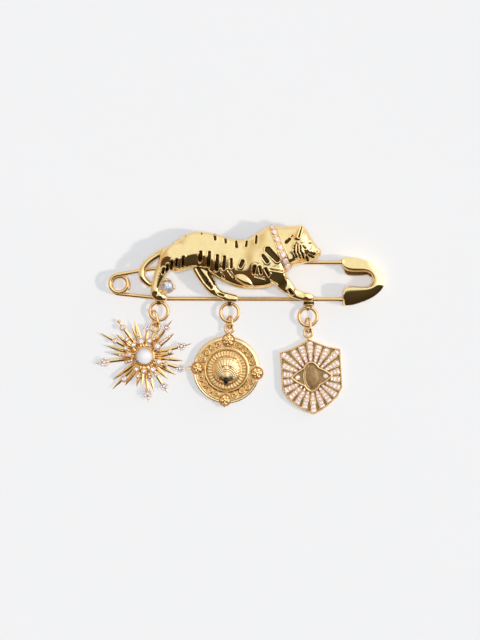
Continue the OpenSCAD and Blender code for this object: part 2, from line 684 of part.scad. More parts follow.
// Distance from the middle to the shield's inner edge, and to the eye, in a direction
function edge_hit(a, p, q) = let (u = polar(1, a), e = q - p, c = u[0] * e[1] - u[1] * e[0])
    abs(c) < 0.0001 ? 99 : let (t = (p[0] * e[1] - p[1] * e[0]) / c, s = (p[0] * u[1] - p[1] * u[0]) / c)
    (t > 0 && s >= 0 && s <= 1) ? t : 99;
function reach_out(a, inset) = let (o = shield_outline(inset))
    min([for (i = [0 : len(o) - 1]) edge_hit(a, o[i], o[(i + 1) % len(o)])]);
function eye_edge(a) = let (
    c = abs(cos(a)), s = abs(sin(a)),
    oval = 1 / norm([c / iris[0], s / iris[1]]),
    lids = 1 / (c / lid_l + s / lid_h * 0.62))
    max(oval, lids);
ray_angles = [for (k = [0 : ray_count - 1]) 90 + 360 * k / ray_count];
// A ray's stones: inner end, outer end, and how many fit
function ray_start(a) = eye_edge(a) + 0.85;
function ray_end(a) = reach_out(a, 1.0) - 0.05;
function ray_stones(a) = max(2, floor((ray_end(a) - ray_start(a)) / 1.12));
function ray_stone_at(a, k) = let (n = ray_stones(a))
    ray_start(a) + (ray_end(a) - ray_start(a)) * (k + 0.5) / n;
// Radius of a stone at a distance, held in by its neighbours on the same ray and the next ones
function ray_stone_r(a, k) = let (pitch = (ray_end(a) - ray_start(a)) / ray_stones(a))
    min(0.5 * pitch - 0.06, ray_stone_at(a, k) * sin(180 / ray_count) - 0.22, 0.54);
stone_z = 1.55;

module at_shield() {
    translate([shield_mid[0], shield_mid[1], 0]) rotate(shield_turn) children();
}

module ray(a) {
    r0 = ray_start(a);
    r1 = ray_end(a);
    n = ray_stones(a);
    w0 = ray_stone_r(a, 0) + 0.2;
    w1 = ray_stone_r(a, n - 1) + 0.2;
    difference() {
        hull() {
            rotate(a) translate([r0, -w0, 0]) cube([0.1, 2 * w0, stone_z]);
            rotate(a) translate([r1, -w1, 0]) cube([0.1, 2 * w1, stone_z]);
        }
        rotate(a) translate([0, 0, stone_z - 0.48]) linear_extrude(2)
            polygon([[r0 - 0.01, -w0 + 0.08], [r1, -w1 + 0.08], [r1, w1 - 0.08], [r0 - 0.01, w0 - 0.08]]);
    }
}

module lids_outline(grow) {
    polygon([for (a = [0 : 15 : 345]) polar(eye_edge(a) + grow, a)]);
}

module shield() {
    color(gold) difference() {
        union() {
            at_shield() {
                linear_extrude(shield_t) polygon(shield_outline(0));
                difference() {
                    linear_extrude(shield_rim_z) polygon(shield_outline(0));
                    linear_extrude(shield_rim_z + 1) polygon(shield_outline(0.8));
                }
                for (a = ray_angles) {
                    ray(a);
                }
                difference() {
                    linear_extrude(2.1) lids_outline(0.6);
                    translate([0, 0, 1.3]) linear_extrude(2) lids_outline(0);
                }
                translate([0, 0, 1.2]) scale([iris[0], iris[1], 1]) {
                    difference() {
                        cylinder(r = 1, h = 1.1, $fn = 20);
                        translate([0, 0, 0.7]) cylinder(r = 0.82, h = 1, $fn = 20);
                    }
                    translate([0, 0, 0.5]) scale([0.72, 0.72, 0.75]) sphere(r = 1, $fn = 14);
                }
            }
            drop_eye(2);
            rod([[eyes[2][0] + 0.3, eyes[2][1] - 2.55, 1.0, 0.6], [eyes[2][0], eyes[2][1] - 1.3, eye_z, 0.5]]);
        }
        at_shield() for (side = [1, -1]) {
            translate([side * 3.75, 0, stone_z]) stone_seat(0.5);
        }
        translate([shield_mid[0] - 20, shield_mid[1] - 20, -5]) cube([40, 40, 5]);
    }
}

module shield_stones() {
    color("mistyrose") at_shield() {
        for (a = ray_angles) {
            for (k = [0 : ray_stones(a) - 1]) {
                rotate(a) translate([ray_stone_at(a, k), 0, stone_z]) brilliant(ray_stone_r(a, k), 6);
            }
        }
        for (side = [1, -1]) {
            translate([side * 3.75, 0, stone_z]) brilliant(0.5);
        }
    }
}

fixed_wire();
spring_coil();
pin_arm();
clasp_cap();
tiger();
collar();
collar_stones();
leg_crystal();
jump_ring_1();
jump_ring_2();
jump_ring_3();
link_1();
link_2();
link_3();
sunburst();
pearl();
sunburst_stones();
medallion();
medallion_nose();
shield();
shield_stones();
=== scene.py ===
from math import cos, hypot, inf, pi, radians, sin, sqrt

import bmesh
import bpy
import numpy as np
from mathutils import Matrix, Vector


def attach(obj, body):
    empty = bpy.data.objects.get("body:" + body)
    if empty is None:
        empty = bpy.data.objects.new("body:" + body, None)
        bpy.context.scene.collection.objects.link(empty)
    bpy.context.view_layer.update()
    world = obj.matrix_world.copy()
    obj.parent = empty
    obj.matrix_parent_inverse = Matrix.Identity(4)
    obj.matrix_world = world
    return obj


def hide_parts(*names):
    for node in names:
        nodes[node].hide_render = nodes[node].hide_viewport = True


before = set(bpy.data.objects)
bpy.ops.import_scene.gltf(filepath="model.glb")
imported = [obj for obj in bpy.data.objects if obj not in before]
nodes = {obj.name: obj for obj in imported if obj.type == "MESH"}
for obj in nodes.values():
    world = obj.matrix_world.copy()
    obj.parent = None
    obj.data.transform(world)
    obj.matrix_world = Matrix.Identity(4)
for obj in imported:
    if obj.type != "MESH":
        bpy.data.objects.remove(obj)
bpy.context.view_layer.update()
scene = bpy.context.scene
TAU = 2 * pi
# Metres in a millimetre: the tables are in millimetres of the frame
MM = 0.001
# Millimetres to a pixel of the photograph, at the brooch's middle height
PIXEL = 0.267


def polar(r, a):
    """Place at distance r in the direction a, in degrees."""
    return r * cos(radians(a)), r * sin(radians(a))


def away(p, r, a, up=0):
    """Point at distance r from p in the direction a, and up above it."""
    dx, dy = polar(r, a)
    return p[0] + dx, p[1] + dy, p[2] + up


# Materials

# Depth of a surface's fine unevenness
GRAIN_DEPTH = 0.05


def put(node, **values):
    """Sets a node's inputs, whose names have _ for a space."""
    for key, value in values.items():
        node.inputs[key.replace("_", " ")].default_value = value


def material(name, metallic, colour, rough, spread=0, bump=0, grain=900, tint=None, **sockets):
    """Principled material with a little uneven colour, roughness and surface."""
    m = bpy.data.materials.new(name)
    m.use_nodes = True
    add, link = m.node_tree.nodes.new, m.node_tree.links.new
    shader = m.node_tree.nodes["Principled BSDF"]
    put(shader, Metallic=metallic, **sockets)
    noise = add("ShaderNodeTexNoise")
    put(noise, Scale=grain, Detail=3)
    link(add("ShaderNodeTexCoord").outputs["Object"], noise.inputs["Vector"])
    ramp = add("ShaderNodeValToRGB")
    ends = ((0.35, tint or [0.95 * c for c in colour]), (0.65, colour))
    for element, (position, shade) in zip(ramp.color_ramp.elements, ends):
        element.position = position
        element.color = (*shade, 1)
    link(noise.outputs["Fac"], ramp.inputs["Fac"])
    link(ramp.outputs["Color"], shader.inputs["Base Color"])
    level = add("ShaderNodeMapRange")
    put(level, To_Min=rough, To_Max=rough + spread)
    link(noise.outputs["Fac"], level.inputs["Value"])
    link(level.outputs["Result"], shader.inputs["Roughness"])
    if bump:
        lift = add("ShaderNodeBump")
        put(lift, Strength=bump, Distance=GRAIN_DEPTH * MM)
        link(noise.outputs["Fac"], lift.inputs["Height"])
        link(lift.outputs["Normal"], shader.inputs["Normal"])
    return m


def stone_material(name, metallic, colour, tint, ior, clear, rough=0.03, grain=2200):
    """Cut glass over foil: partly a mirror, partly clear."""
    return material(name, metallic, colour, rough, 0.02, grain=grain, tint=tint, IOR=ior,
                    Transmission_Weight=clear)


GOLD = material("gold_polished", 1, (1, 0.72, 0.32), 0.05, 0.03)
# Gold of the wires, rings and links, darker than the polished gold: painted shade
WIRE_SHADED = material("gold_wire_shaded", 1, (0.96, 0.6, 0.25), 0.06, 0.04)
CAST = material("gold_cast", 1, (1, 0.74, 0.38), 0.2, 0.12, bump=0.15, tint=(1, 0.66, 0.3))
WARM = material("gold_warm", 1, (1, 0.71, 0.31), 0.2, 0.12, bump=0.15, tint=(1, 0.62, 0.24))
# Darker gold: painted shade on the medallion's low faces and between the shield rim's beads, and the wires
# over the paw bead
DEEP = material("gold_deep", 1, (0.82, 0.51, 0.2), 0.3, 0.1, bump=0.2)
DULL = material("gold_dull", 1, (0.8, 0.54, 0.28), 0.55, 0.1, bump=0.2)
# Near-black gold: the tiger's enamel stripes and the paw bead, and painted shade in the tiger's ear crease
# and on its far leg
DARK = material("gold_dark", 1, (0.085, 0.05, 0.018), 0.3, 0.1)
OLIVE = material("gold_olive", 1, (0.48, 0.34, 0.12), 0.4, 0.15, bump=0.3)
BROWN = material("gold_brown", 1, (0.52, 0.32, 0.14), 0.45, 0.1, bump=0.6, grain=1500,
                 tint=(0.36, 0.2, 0.08))
STONE = stone_material("stone_pink", 0.15, (1, 0.78, 0.67), (0.84, 0.64, 0.61), 1.8, 0.2)
SMOKY = stone_material("stone_smoky", 0.3, (0.95, 0.76, 0.69), (0.64, 0.53, 0.52), 2, 0.3)
CLEAR = stone_material("stone_clear", 0.3, (0.95, 0.93, 1), (0.36, 0.36, 0.43), 2.2, 0.3, 0.01, 2500)
PEARL = material("pearl_white", 0, (0.84, 0.82, 0.83), 0.22, 0.05, tint=(0.85, 0.81, 0.8), Coat_Weight=0.6)
BLACK = material("enamel_black", 0, (0.012, 0.01, 0.008), 0.2, 0.05, Specular_IOR_Level=0.25)


def paint(node, m):
    """Gives a carried-over CAD node its material."""
    mesh = nodes[node].data
    mesh.materials.clear()
    mesh.materials.append(m)
    for p in mesh.polygons:
        p.use_smooth = True


# Meshes

class Soup:
    """Vertices and faces of one piece."""

    def __init__(self):
        self.verts, self.faces, self.mats, self.smooth = [], [], [], []

    def add(self, verts, faces, mat=0, smooth=True):
        n = len(self.verts)
        self.verts += [tuple(v) for v in verts]
        self.faces += [tuple(i + n for i in f) for f in faces]
        self.mats += [mat] * len(faces)
        self.smooth += [smooth] * len(faces)

    def loft(self, sections, mat=0, smooth=True, loop=True, round_again=False):
        """Skin through sections with the same number of points: closed ones, unless loop is off."""
        n = len(sections[0])
        rows = len(sections)
        faces = []
        for i in range(rows if round_again else rows - 1):
            j = (i + 1) % rows
            for k in range(n if loop else n - 1):
                q = (k + 1) % n
                faces.append((i * n + k, i * n + q, j * n + q, j * n + k))
        if loop and not round_again:
            faces += [tuple(range(n)), tuple((rows - 1) * n + k for k in range(n))]
        self.add([p for s in sections for p in s], faces, mat, smooth)

    def tube(self, path, radii, sides=10, mat=0, closed=False):
        """Round rod along a path, with one radius, or one for each point."""
        pts = [Vector(p) for p in path]
        n = len(pts)
        sections = []
        for i, p in enumerate(pts):
            before = pts[(i - 1) % n if closed else max(i - 1, 0)]
            after = pts[(i + 1) % n if closed else min(i + 1, n - 1)]
            ahead = (after - before).normalized()
            side = ahead.cross(Vector((0, 0, 1)))
            side = side.normalized() if side.length > 1e-4 else Vector((1, 0, 0))
            up = side.cross(ahead).normalized()
            r = radii[i] if hasattr(radii, "__len__") else radii
            turns = [TAU * k / sides for k in range(sides)]
            sections.append([p + side * (r * cos(t)) + up * (r * sin(t)) for t in turns])
        self.loft(sections, mat, round_again=closed)

    def ring(self, centre, r, wire, steps=32, sides=10):
        """Wire bent to a ring that lies flat."""
        self.tube([away(centre, r, 360 * k / steps) for k in range(steps)], wire, sides, closed=True)

    def ball(self, centre, r, rings=6, sides=10, scale=(1, 1, 1)):
        sections = []
        for i in range(rings + 1):
            t = pi * (i + 0.15) / (rings + 0.3)
            circle = [away((0, 0, r * cos(t)), r * sin(t), 360 * k / sides) for k in range(sides)]
            sections.append([[c + q * stretch for c, q, stretch in zip(centre, p, scale)] for p in circle])
        self.loft(sections)

    def claw(self, centre, r=0.14):
        """Small ball."""
        self.ball(centre, r, 4, 6)

    def stone(self, centre, r, normal=(0, 0, 1), turn=0, sides=8, long=1, table=0.64, crown=0.3):
        """Cut stone: table, star and kite facets, girdle and pavilion. long stretches it along its turn."""
        n = Vector(normal).normalized()
        u = Vector((1, 0, 0)) - n * n.x
        u = u.normalized() if u.length > 0.1 else Vector((0, 1, 0))
        v = n.cross(u)
        c, s = polar(1, turn)
        u, v = u * c + v * s, v * c - u * s
        # Rows of corners: share of the radius, height, turn
        rows = ((table, crown, 0.5), (0.54 + 0.5 * table, 0.6 * crown, 0), (1, 0.03, 0.5), (1, -0.03, 0.5))
        verts = []
        for share, height, half in rows:
            for k in range(sides):
                x, y = polar(share * r, 360 * (k + half) / sides)
                verts.append(Vector(centre) + u * (long * x) + v * y + n * (height * r))
        culet = len(verts)
        verts.append(Vector(centre) - n * (0.6 * r))
        faces = [tuple(range(sides))]
        for k in range(sides):
            q, p = (k + 1) % sides, (k - 1) % sides
            star, girdle, under = sides + k, 2 * sides + k, 3 * sides + k
            faces += [(p, star, k), (k, star, sides + q), (star, girdle, sides + q)]
            faces += [(star, 2 * sides + p, girdle), (girdle, under, 3 * sides + q, 2 * sides + q)]
            faces.append((under, culet, 3 * sides + q))
        self.add(verts, faces, smooth=False)

    def step_stone(self, centre, half_l, half_w, turn):
        """Step-cut block with cut corners: table, eight crown facets and eight pavilion facets."""
        corners = [(1, 0.6), (0.6, 1), (-0.6, 1), (-1, 0.6), (-1, -0.6), (-0.6, -1), (0.6, -1), (1, -0.6)]
        rows = []
        for share, z in ((0.6, 0.2), (1, 0), (1, -0.06), (0.3, -0.4)):
            ends = [away(centre, share * half_l * u, turn, z) for u, v in corners]
            rows.append([away(p, share * half_w * v, turn + 90) for p, (u, v) in zip(ends, corners)])
        self.loft(rows, smooth=False)

    def prism(self, outline, z0, z1, mat=0):
        self.loft([[(x, y, z) for x, y in outline] for z in (z0, z1)], mat, smooth=False)

    def piece(self, name, mats, slot, node=None):
        """Adds the mesh, its faces turned outwards, on the frame, and hides the node it replaces if one is
        named.
        """
        mesh = bpy.data.meshes.new(name)
        mesh.from_pydata([(x * MM, y * MM, z * MM) for x, y, z in self.verts], [], self.faces)
        mesh.polygons.foreach_set("material_index", self.mats)
        mesh.polygons.foreach_set("use_smooth", self.smooth)
        work = bmesh.new()
        work.from_mesh(mesh)
        bmesh.ops.recalc_face_normals(work, faces=work.faces)
        work.to_mesh(mesh)
        work.free()
        for m in mats:
            mesh.materials.append(m)
        mesh.validate()
        obj = bpy.data.objects.new(name, mesh)
        scene.collection.objects.link(obj)
        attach(obj, "frame")
        if node:
            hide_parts(node)


# Implicit solids

# Distance given to points that no step reaches
OUTSIDE = 4
# Heights between which swellings and engraved lines act
SKIN_Z = (3, 12)
# Half the thickness of a slab, and the rounding of its upper edges
SLAB = 0.9
# Keeps a length above 0
TINY = 1e-9


def smooth_min(a, b, k):
    """Lesser of two distances, blended over k."""
    h = np.clip(0.5 + 0.5 * (b - a) / k, 0, 1)
    return b * (1 - h) + a * h - k * h * (1 - h)


def smooth_max(a, b, k):
    return -smooth_min(-a, -b, k)


def step01(t):
    """Smooth step from 0 to 1."""
    t = np.clip(t, 0, 1)
    return t * t * (3 - 2 * t)


def bell(d, width):
    """Bell with its top, 1, at a distance of 0."""
    return np.exp(-(d / width) ** 2)


def beside(p, a, b):
    """Share of the way from a to b that each point has come, and its distance from there."""
    d = b - a
    t = np.clip((p - a) @ d / (d @ d), 0, 1)
    return t, np.linalg.norm(p - a - t[:, None] * d, axis=1)


class Field:
    """Distance from a solid built up in steps, each with the box it acts in."""

    def __init__(self):
        self.steps = []

    def step(self, kind, fn, lo, hi, k=0):
        """Adds or cuts a shape with a blend of k, or shifts the skin."""
        self.steps.append((kind, fn, lo, hi, k))

    def limb(self, rows, k, flat=False):
        """Rod through rows of x, y, z, radius. With flat, its top is flat, and z is the height of that."""
        rows = refined(rows, 3)
        n = 2 if flat else 3
        for a, b in zip(rows[:-1], rows[1:]):
            def fn(p, a=a, b=b):
                t, side = beside(p[:, :n], a[:n], b[:n])
                side = side - (a[3] + (b[3] - a[3]) * t)
                if not flat:
                    return side
                return smooth_max(side, np.abs(p[:, 2] - a[2] - (b[2] - a[2]) * t + SLAB) - SLAB, SLAB)
            reach = max(a[3], b[3]) + 1
            lo, hi = np.minimum(a[:3], b[:3]) - reach, np.maximum(a[:3], b[:3]) + reach
            if flat:
                lo[2], hi[2] = 0, SKIN_Z[1]
            self.step("add", fn, lo, hi, k)

    def swell(self, x, y, r, amount):
        """Raises the skin round a spot."""
        self.step("shift", lambda p: -amount * bell(np.hypot(p[:, 0] - x, p[:, 1] - y), r),
                  (x - 3 * r, y - 3 * r, SKIN_Z[0]), (x + 3 * r, y + 3 * r, SKIN_Z[1]))

    def ball(self, c, r, k):
        """Ball, or an ellipsoid if r has three radii."""
        c, r = np.array(c, float), np.array(r, float) * np.ones(3)

        def fn(p):
            q = (p - c) / r
            n = np.sqrt((q * q).sum(1)) + TINY
            return (n - 1) * n / (np.sqrt(((q / r) ** 2).sum(1)) + TINY)
        self.step("add", fn, c - r - 1, c + r + 1, k)

    def at(self, p):
        """Signed distances of points, negative inside."""
        f = np.full(len(p), OUTSIDE, np.float32)
        for kind, fn, lo, hi, k in self.steps:
            m = np.all((p >= lo) & (p <= hi), axis=1)
            if not m.any():
                continue
            d = fn(p[m])
            if kind == "add":
                f[m] = smooth_min(f[m], d, k)
            elif kind == "cut":
                f[m] = smooth_max(f[m], -d, k)
            else:
                f[m] = f[m] + d
        return f


def refined(rows, steps):
    """Rows of a table with smooth steps between neighbours."""
    rows = np.array(rows, float)
    out = []
    for i in range(len(rows) - 1):
        a, b, c, d = rows[max(i - 1, 0)], rows[i], rows[i + 1], rows[min(i + 2, len(rows) - 1)]
        for s in range(steps):
            t = s / steps
            bend = (2 * a - 5 * b + 4 * c - d) * t * t + (3 * b - a - 3 * c + d) * t ** 3
            out.append(0.5 * (2 * b + (c - a) * t + bend))
    out.append(rows[-1])
    return np.array(out)


def skin_of(field, lo, hi, step):
    """Points and quads of a field's surface: one point in each cell that it passes through."""
    axes = [np.arange(a, b + step, step) for a, b in zip(lo, hi)]
    grid = np.stack(np.meshgrid(*axes, indexing="ij"), -1)
    v = np.concatenate([field.at(part) for part in np.array_split(grid.reshape(-1, 3), 20)])
    v = v.reshape(grid.shape[:3])
    total = np.zeros([n - 1 for n in v.shape] + [3])
    count = np.zeros(total.shape[:3])
    for axis in range(3):
        for u, w in ((0, 0), (0, 1), (1, 0), (1, 1)):
            corner = np.insert([u, w], axis, 0)
            va, vb = (v[tuple(slice(i, n - 1 + i) for i, n in zip(end, v.shape))]
                      for end in (corner, corner + np.eye(3, dtype=int)[axis]))
            cross = (va < 0) != (vb < 0)
            total += cross[..., None] * corner
            total[..., axis] += np.where(cross, va / np.where(cross, va - vb, 1), 0)
            count += cross
    cells = count > 0
    index = np.full(cells.shape, -1)
    index[cells] = np.arange(cells.sum())
    pts = np.array(lo) + (np.stack(np.nonzero(cells), -1) + total[cells] / count[cells][:, None]) * step
    quads = []
    for axis in range(3):
        a, b = [slice(1, -1)] * 3, [slice(1, -1)] * 3
        a[axis], b[axis] = slice(None, -1), slice(1, None)
        ia, ib = v[tuple(a)] < 0, v[tuple(b)] < 0
        for sign in (True, False):
            edges = np.stack(np.nonzero((ia != ib) & (ia == sign)), -1)
            around = [(edges + np.insert([u, w], axis, 0)).T for u, w in ((0, 0), (1, 0), (1, 1), (0, 1))]
            ring = np.stack([index[x, y, z] for x, y, z in around], -1)
            quads.append(ring[:, ::-1] if (axis == 1) == sign else ring)
    return settled(field, pts, 0.3 * step), np.concatenate(quads)


def settled(field, pts, reach):
    """Points moved onto the surface in three passes, each by reach at most."""
    eps = 0.03
    for _ in range(3):
        g = np.stack([(field.at(pts + e) - field.at(pts - e)) / (2 * eps) for e in np.eye(3) * eps], -1)
        size = np.maximum((g * g).sum(1), 0.05)
        pts = pts - np.clip(field.at(pts) / size, -reach, reach)[:, None] * g
    return pts


# The tiger

# Size of the cells that its skin is worked out in
SKIN_STEP = 0.16
# Height of its flat back, and of the casting's upright edge above that
BACK = 4.07
EDGE = 0.6
# Body and head along X: x, top edge, bottom edge, depth
TORSO = [
    (-20.3, 18.3, 15.6, 1.3), (-18.7, 19.9, 13.4, 2.9), (-16.5, 21.5, 12.8, 3.6), (-14.4, 22.8, 13.3, 3.7),
    (-11.7, 23.5, 13.9, 3.5), (-9.1, 23.4, 13.2, 3.4), (-6.4, 22.9, 11.3, 3.4), (-3.7, 22.1, 9.9, 3.5),
    (-1.1, 21.4, 8.8, 3.7), (1.6, 21.5, 8.3, 4), (4.3, 23, 8.3, 4.4), (6.9, 24.6, 8.5, 4.7),
    (9.1, 24.9, 9.4, 4.7), (10.9, 24.9, 11.7, 4.5), (12.8, 25, 13.6, 4.3), (14.6, 25.1, 14.6, 4.5),
    (16.2, 25, 14.9, 4.6), (17.6, 24.2, 15.2, 4.3), (19, 22, 15.6, 3.6), (20.3, 19.9, 16.3, 2.6),
    (21.2, 18.9, 16.9, 1.7), (21.6, 18.4, 17.5, 0.7)]
STATIONS = refined(TORSO, 6)
# Tail: x, y, z, radius
TAIL = [(-18.6, 18.4, 5.3, 1.2), (-20.6, 18, 4.95, 0.9), (-22.5, 17, 4.85, 0.78), (-24.3, 15.7, 4.8, 0.76),
        (-25.7, 14.1, 4.8, 0.76), (-26.2, 12.5, 4.75, 0.76), (-25.9, 11.1, 4.6, 0.76), (-25, 10.1, 4.2, 0.72),
        (-23.8, 9.3, 3.8, 0.6)]
# Legs: x, y, height of the flat top, radius
HIND = [(-17, 18.4, 7.4, 1.8), (-18.9, 16.6, 6.9, 1.9), (-20.3, 14.2, 6.3, 1.6), (-21.5, 11.9, 5.9, 1.2),
        (-22.3, 9.8, 5.6, 0.9), (-22.7, 8.2, 5.4, 0.82), (-22.5, 6.8, 5.15, 0.95), (-21.4, 6.2, 4.9, 0.95),
        (-20.1, 5.9, 4.3, 0.7)]
FAR = [(-11.4, 15.2, 5.2, 1.8), (-9.9, 12.4, 5.2, 1.9), (-8.3, 9.9, 5, 1.7), (-7.1, 8, 4.65, 1.3),
       (-5.3, 6.8, 4.35, 1), (-3.5, 6.1, 4.35, 1.1), (-1.4, 5.75, 4.1, 0.95)]
FORE = [(8, 17.2, 8.2, 2.2), (8.7, 14.2, 8.1, 2.3), (9.9, 12.1, 7.5, 2.1), (11.1, 10.3, 6.1, 1.75),
        (12.2, 9.1, 5.7, 1.45), (13.1, 8.25, 5.5, 1.25), (14.1, 7.3, 4.6, 1.05), (15.2, 6.7, 4.35, 0.92),
        (16.6, 6.3, 4.2, 0.88), (18, 6.1, 4.15, 0.85), (19, 6, 4, 0.7)]
# Leaf-shaped fold of the belly
LEAF = [(-0.7, 11.3, 7.65, 0.5), (0.7, 10.9, 7.6, 0.95), (1.9, 10.2, 7.4, 0.9), (2.9, 9.4, 7.1, 0.4)]
# Swellings of the flank, neck, belly and feet: x, y, reach, height
SWELLS = [(-3.2, 17.6, 2, 0.35), (3.6, 16.2, 1.9, 0.35), (13.5, 15.7, 1.2, 0.5), (-18.9, 17.2, 1.9, 0.3),
          (-22.5, 7.7, 0.45, 0.25), (-21.3, 6.5, 0.45, 0.2), (-7.6, 8, 0.5, 0.2), (-4.2, 6.2, 0.45, 0.2),
          (17.6, 6.3, 0.45, 0.2), (17.6, 22.6, 0.5, 0.2), (18.7, 21.2, 0.5, 0.2), (19.8, 19.9, 0.45, 0.2)]
# Ear and brow: x, y, z, radius
EAR = [(15.3, 22, 7.85, 1.1), (16, 23.8, 7.75, 0.8), (16.35, 24.75, 7.55, 0.45)]
BROW = [(16.3, 20.8, 8.25, 0.5), (18.6, 20.6, 7.45, 0.45)]
# Cheek, muzzle and nose: middle, radius or radii, blend
FACE = [((15.6, 17.6, 7.9), 1.15, 0.7), ((19.6, 18.2, 6.3), (1.5, 1.2, 1.2), 0.5),
        ((21, 18.5, 5.3), 0.55, 0.3)]
# Engraved lines: from x, y to x, y, half width at each end, depth
BACK_STRIPES = [
    (-14.5, 22.5, -14.4, 22.2, 0.18, 0.14, 0.3), (-10.2, 23.1, -10.2, 22.8, 0.18, 0.14, 0.3),
    (-6.7, 22.5, -6.6, 21.4, 0.3, 0.26, 0.5), (-3.9, 21.9, -3.8, 20.6, 0.26, 0.24, 0.5),
    (-1, 20.9, -0.9, 19.5, 0.2, 0.36, 0.5), (1.8, 20.9, 1.6, 19.7, 0.18, 0.28, 0.5),
    (4.4, 22.3, 4.2, 20.5, 0.2, 0.26, 0.5)]
FLANK_STRIPES = [
    (-20.2, 13.6, -20.5, 12.4, 0.22, 0.25, 0.4), (-19.2, 14.6, -19.6, 12.8, 0.18, 0.22, 0.4),
    (-18, 15.6, -18.3, 13.7, 0.24, 0.26, 0.45), (-16.7, 16.1, -17, 14.2, 0.2, 0.24, 0.45),
    (-15, 16.7, -15.3, 14.3, 0.26, 0.28, 0.5), (-10.4, 18, -10.6, 15.8, 0.26, 0.42, 0.6),
    (-8.1, 17.9, -8.4, 14.5, 0.28, 0.44, 0.6), (-6, 17, -6.2, 13.4, 0.3, 0.42, 0.6),
    (-4.1, 16.7, -4.3, 13.6, 0.28, 0.34, 0.6), (-2.3, 16, -2.3, 14, 0.24, 0.3, 0.5),
    (0.7, 15.5, 0.1, 14.2, 0.42, 0.34, 0.6), (3.9, 14.2, 3.6, 12.4, 0.3, 0.26, 0.5),
    (6.1, 17, 7.2, 15.5, 0.36, 0.45, 0.6), (7.4, 18.6, 9.9, 16, 0.74, 0.58, 0.7),
    (6.8, 13.5, 7.6, 12, 0.3, 0.3, 0.5), (8, 13.4, 11.2, 12.9, 0.1, 0.1, 0.2),
    (5.2, 14, 5.6, 12.4, 0.24, 0.28, 0.5), (-5.2, 13.2, -4.2, 11.5, 0.07, 0.07, 0.15),
    (-3.2, 13.2, -1.9, 11.4, 0.07, 0.07, 0.15), (3.9, 11.6, 6.6, 10.9, 0.07, 0.07, 0.15)]
# Lines of the head. The first is the crease behind the ear, and its dark bottom is painted shade.
HEAD_LINES = [
    (16.4, 24.7, 15.6, 22, 0.1, 0.2, 0.5), (12.2, 20.6, 13.2, 21.5, 0.38, 0.26, 0.5),
    (13.5, 22, 13.9, 22.4, 0.14, 0.14, 0.35), (15, 20.5, 14.4, 19.5, 0.1, 0.13, 0.3),
    (14.4, 19.5, 14.4, 18, 0.13, 0.17, 0.3), (14.4, 18, 15, 16.7, 0.17, 0.15, 0.3),
    (15.3, 20.1, 15.3, 17.9, 0.1, 0.18, 0.35), (15.3, 17.9, 16, 16.5, 0.18, 0.17, 0.35),
    (16, 19.6, 16.1, 18.3, 0.12, 0.17, 0.35), (16.1, 18.3, 17, 16.4, 0.17, 0.2, 0.35),
    (16.7, 19.6, 17.3, 19, 0.14, 0.2, 0.35), (17.1, 18.5, 17.5, 17.4, 0.08, 0.1, 0.2),
    (18.3, 17.2, 19.4, 16.7, 0.3, 0.26, 0.45), (17.7, 16.8, 18, 15.9, 0.28, 0.26, 0.45),
    (19.2, 19.6, 18.6, 18.6, 0.08, 0.1, 0.2), (20.5, 18.5, 20.4, 18, 0.14, 0.18, 0.2)]
# Lines of the legs: the first is a stripe of the fore leg; on the far leg the lines' dark bottoms are painted
# shade.
LEG_STRIPES = [
    (13.2, 7.9, 14, 7, 0.4, 0.3, 0.35),
    (-11.2, 13.6, -9, 10.3, 0.36, 0.58, 0.2), (-8.6, 9.7, -7.6, 8.5, 0.48, 0.3, 0.2),
    (-8.4, 12.4, -6.7, 9.6, 0.3, 0.3, 0.2), (-5.6, 6.9, -4.4, 6.5, 0.22, 0.22, 0.2)]
LINES = BACK_STRIPES + FLANK_STRIPES + HEAD_LINES + LEG_STRIPES
# Width of a line's walls, and place and width of the lip beside it
WALL = 0.3
LIP_AT = 0.28
LIP_WIDTH = 0.16
# Height of the lip, and of the flank's
LIP = 0.05
FLANK_LIP = 0.1
# Lugs under the paws, each holding a jump ring: x, y on the wire, y in the ring, width
LUGS = [(-21.7, 5.9, 4.76, 1.2), (-2.8, 5.6, 4.4, 1.2), (18.2, 5.5, 3.27, 0.8)]
LUG_WIRE_Z = 1.65
LUG_RING_Z = 1.55
LUG_R = 1
LUG_TAPER = 0.16
LUG_HOLE = 0.5
# Lower edge of the flat back, where the sharp arm passes
BACK_FROM_Y = 10.75
# Crystal by the hind foot: x, y, z, radius
CRYSTAL = (-19.4, 9, 3.3, 1.7)
# Directions between which a prong's foot holds the crystal's rim
PRONGS = [(62, 138), (236, 262), (336, 362)]
# Bead between the fore paw and its ring: middle, and half sizes
BEAD = (18.4, 4.45, 2.75)
BEAD_SIZE = (1.43, 0.93, 0.88)
BEAD_TUBE = 0.25


def across(x):
    """Middle, half height and depth of the body at x."""
    top, low, depth = (np.interp(x, STATIONS[:, 0], STATIONS[:, i]) for i in (1, 2, 3))
    return (top + low) / 2, (top - low) / 2, depth - EDGE


def torso(p):
    """Body and head: rounded in front, flat behind, with an upright edge."""
    x = p[:, 0]
    middle, half, depth = across(x)
    v = np.abs(p[:, 1] - middle) / half
    w = np.maximum(p[:, 2] - BACK - EDGE, 0) / depth
    n = np.sqrt(v ** 2 + w ** 2) + TINY
    g = np.sqrt((v / n / half) ** 2 + (w / n / depth) ** 2) + TINY
    ends = np.maximum(x - STATIONS[-1, 0], STATIONS[0, 0] - x)
    return np.maximum(np.clip((n - 1) / g, -OUTSIDE, OUTSIDE), np.maximum(ends, BACK - 1 - p[:, 2]))


def back_space(p):
    """Space behind the flat back."""
    return np.maximum(BACK_FROM_Y - p[:, 1], p[:, 2] - BACK)


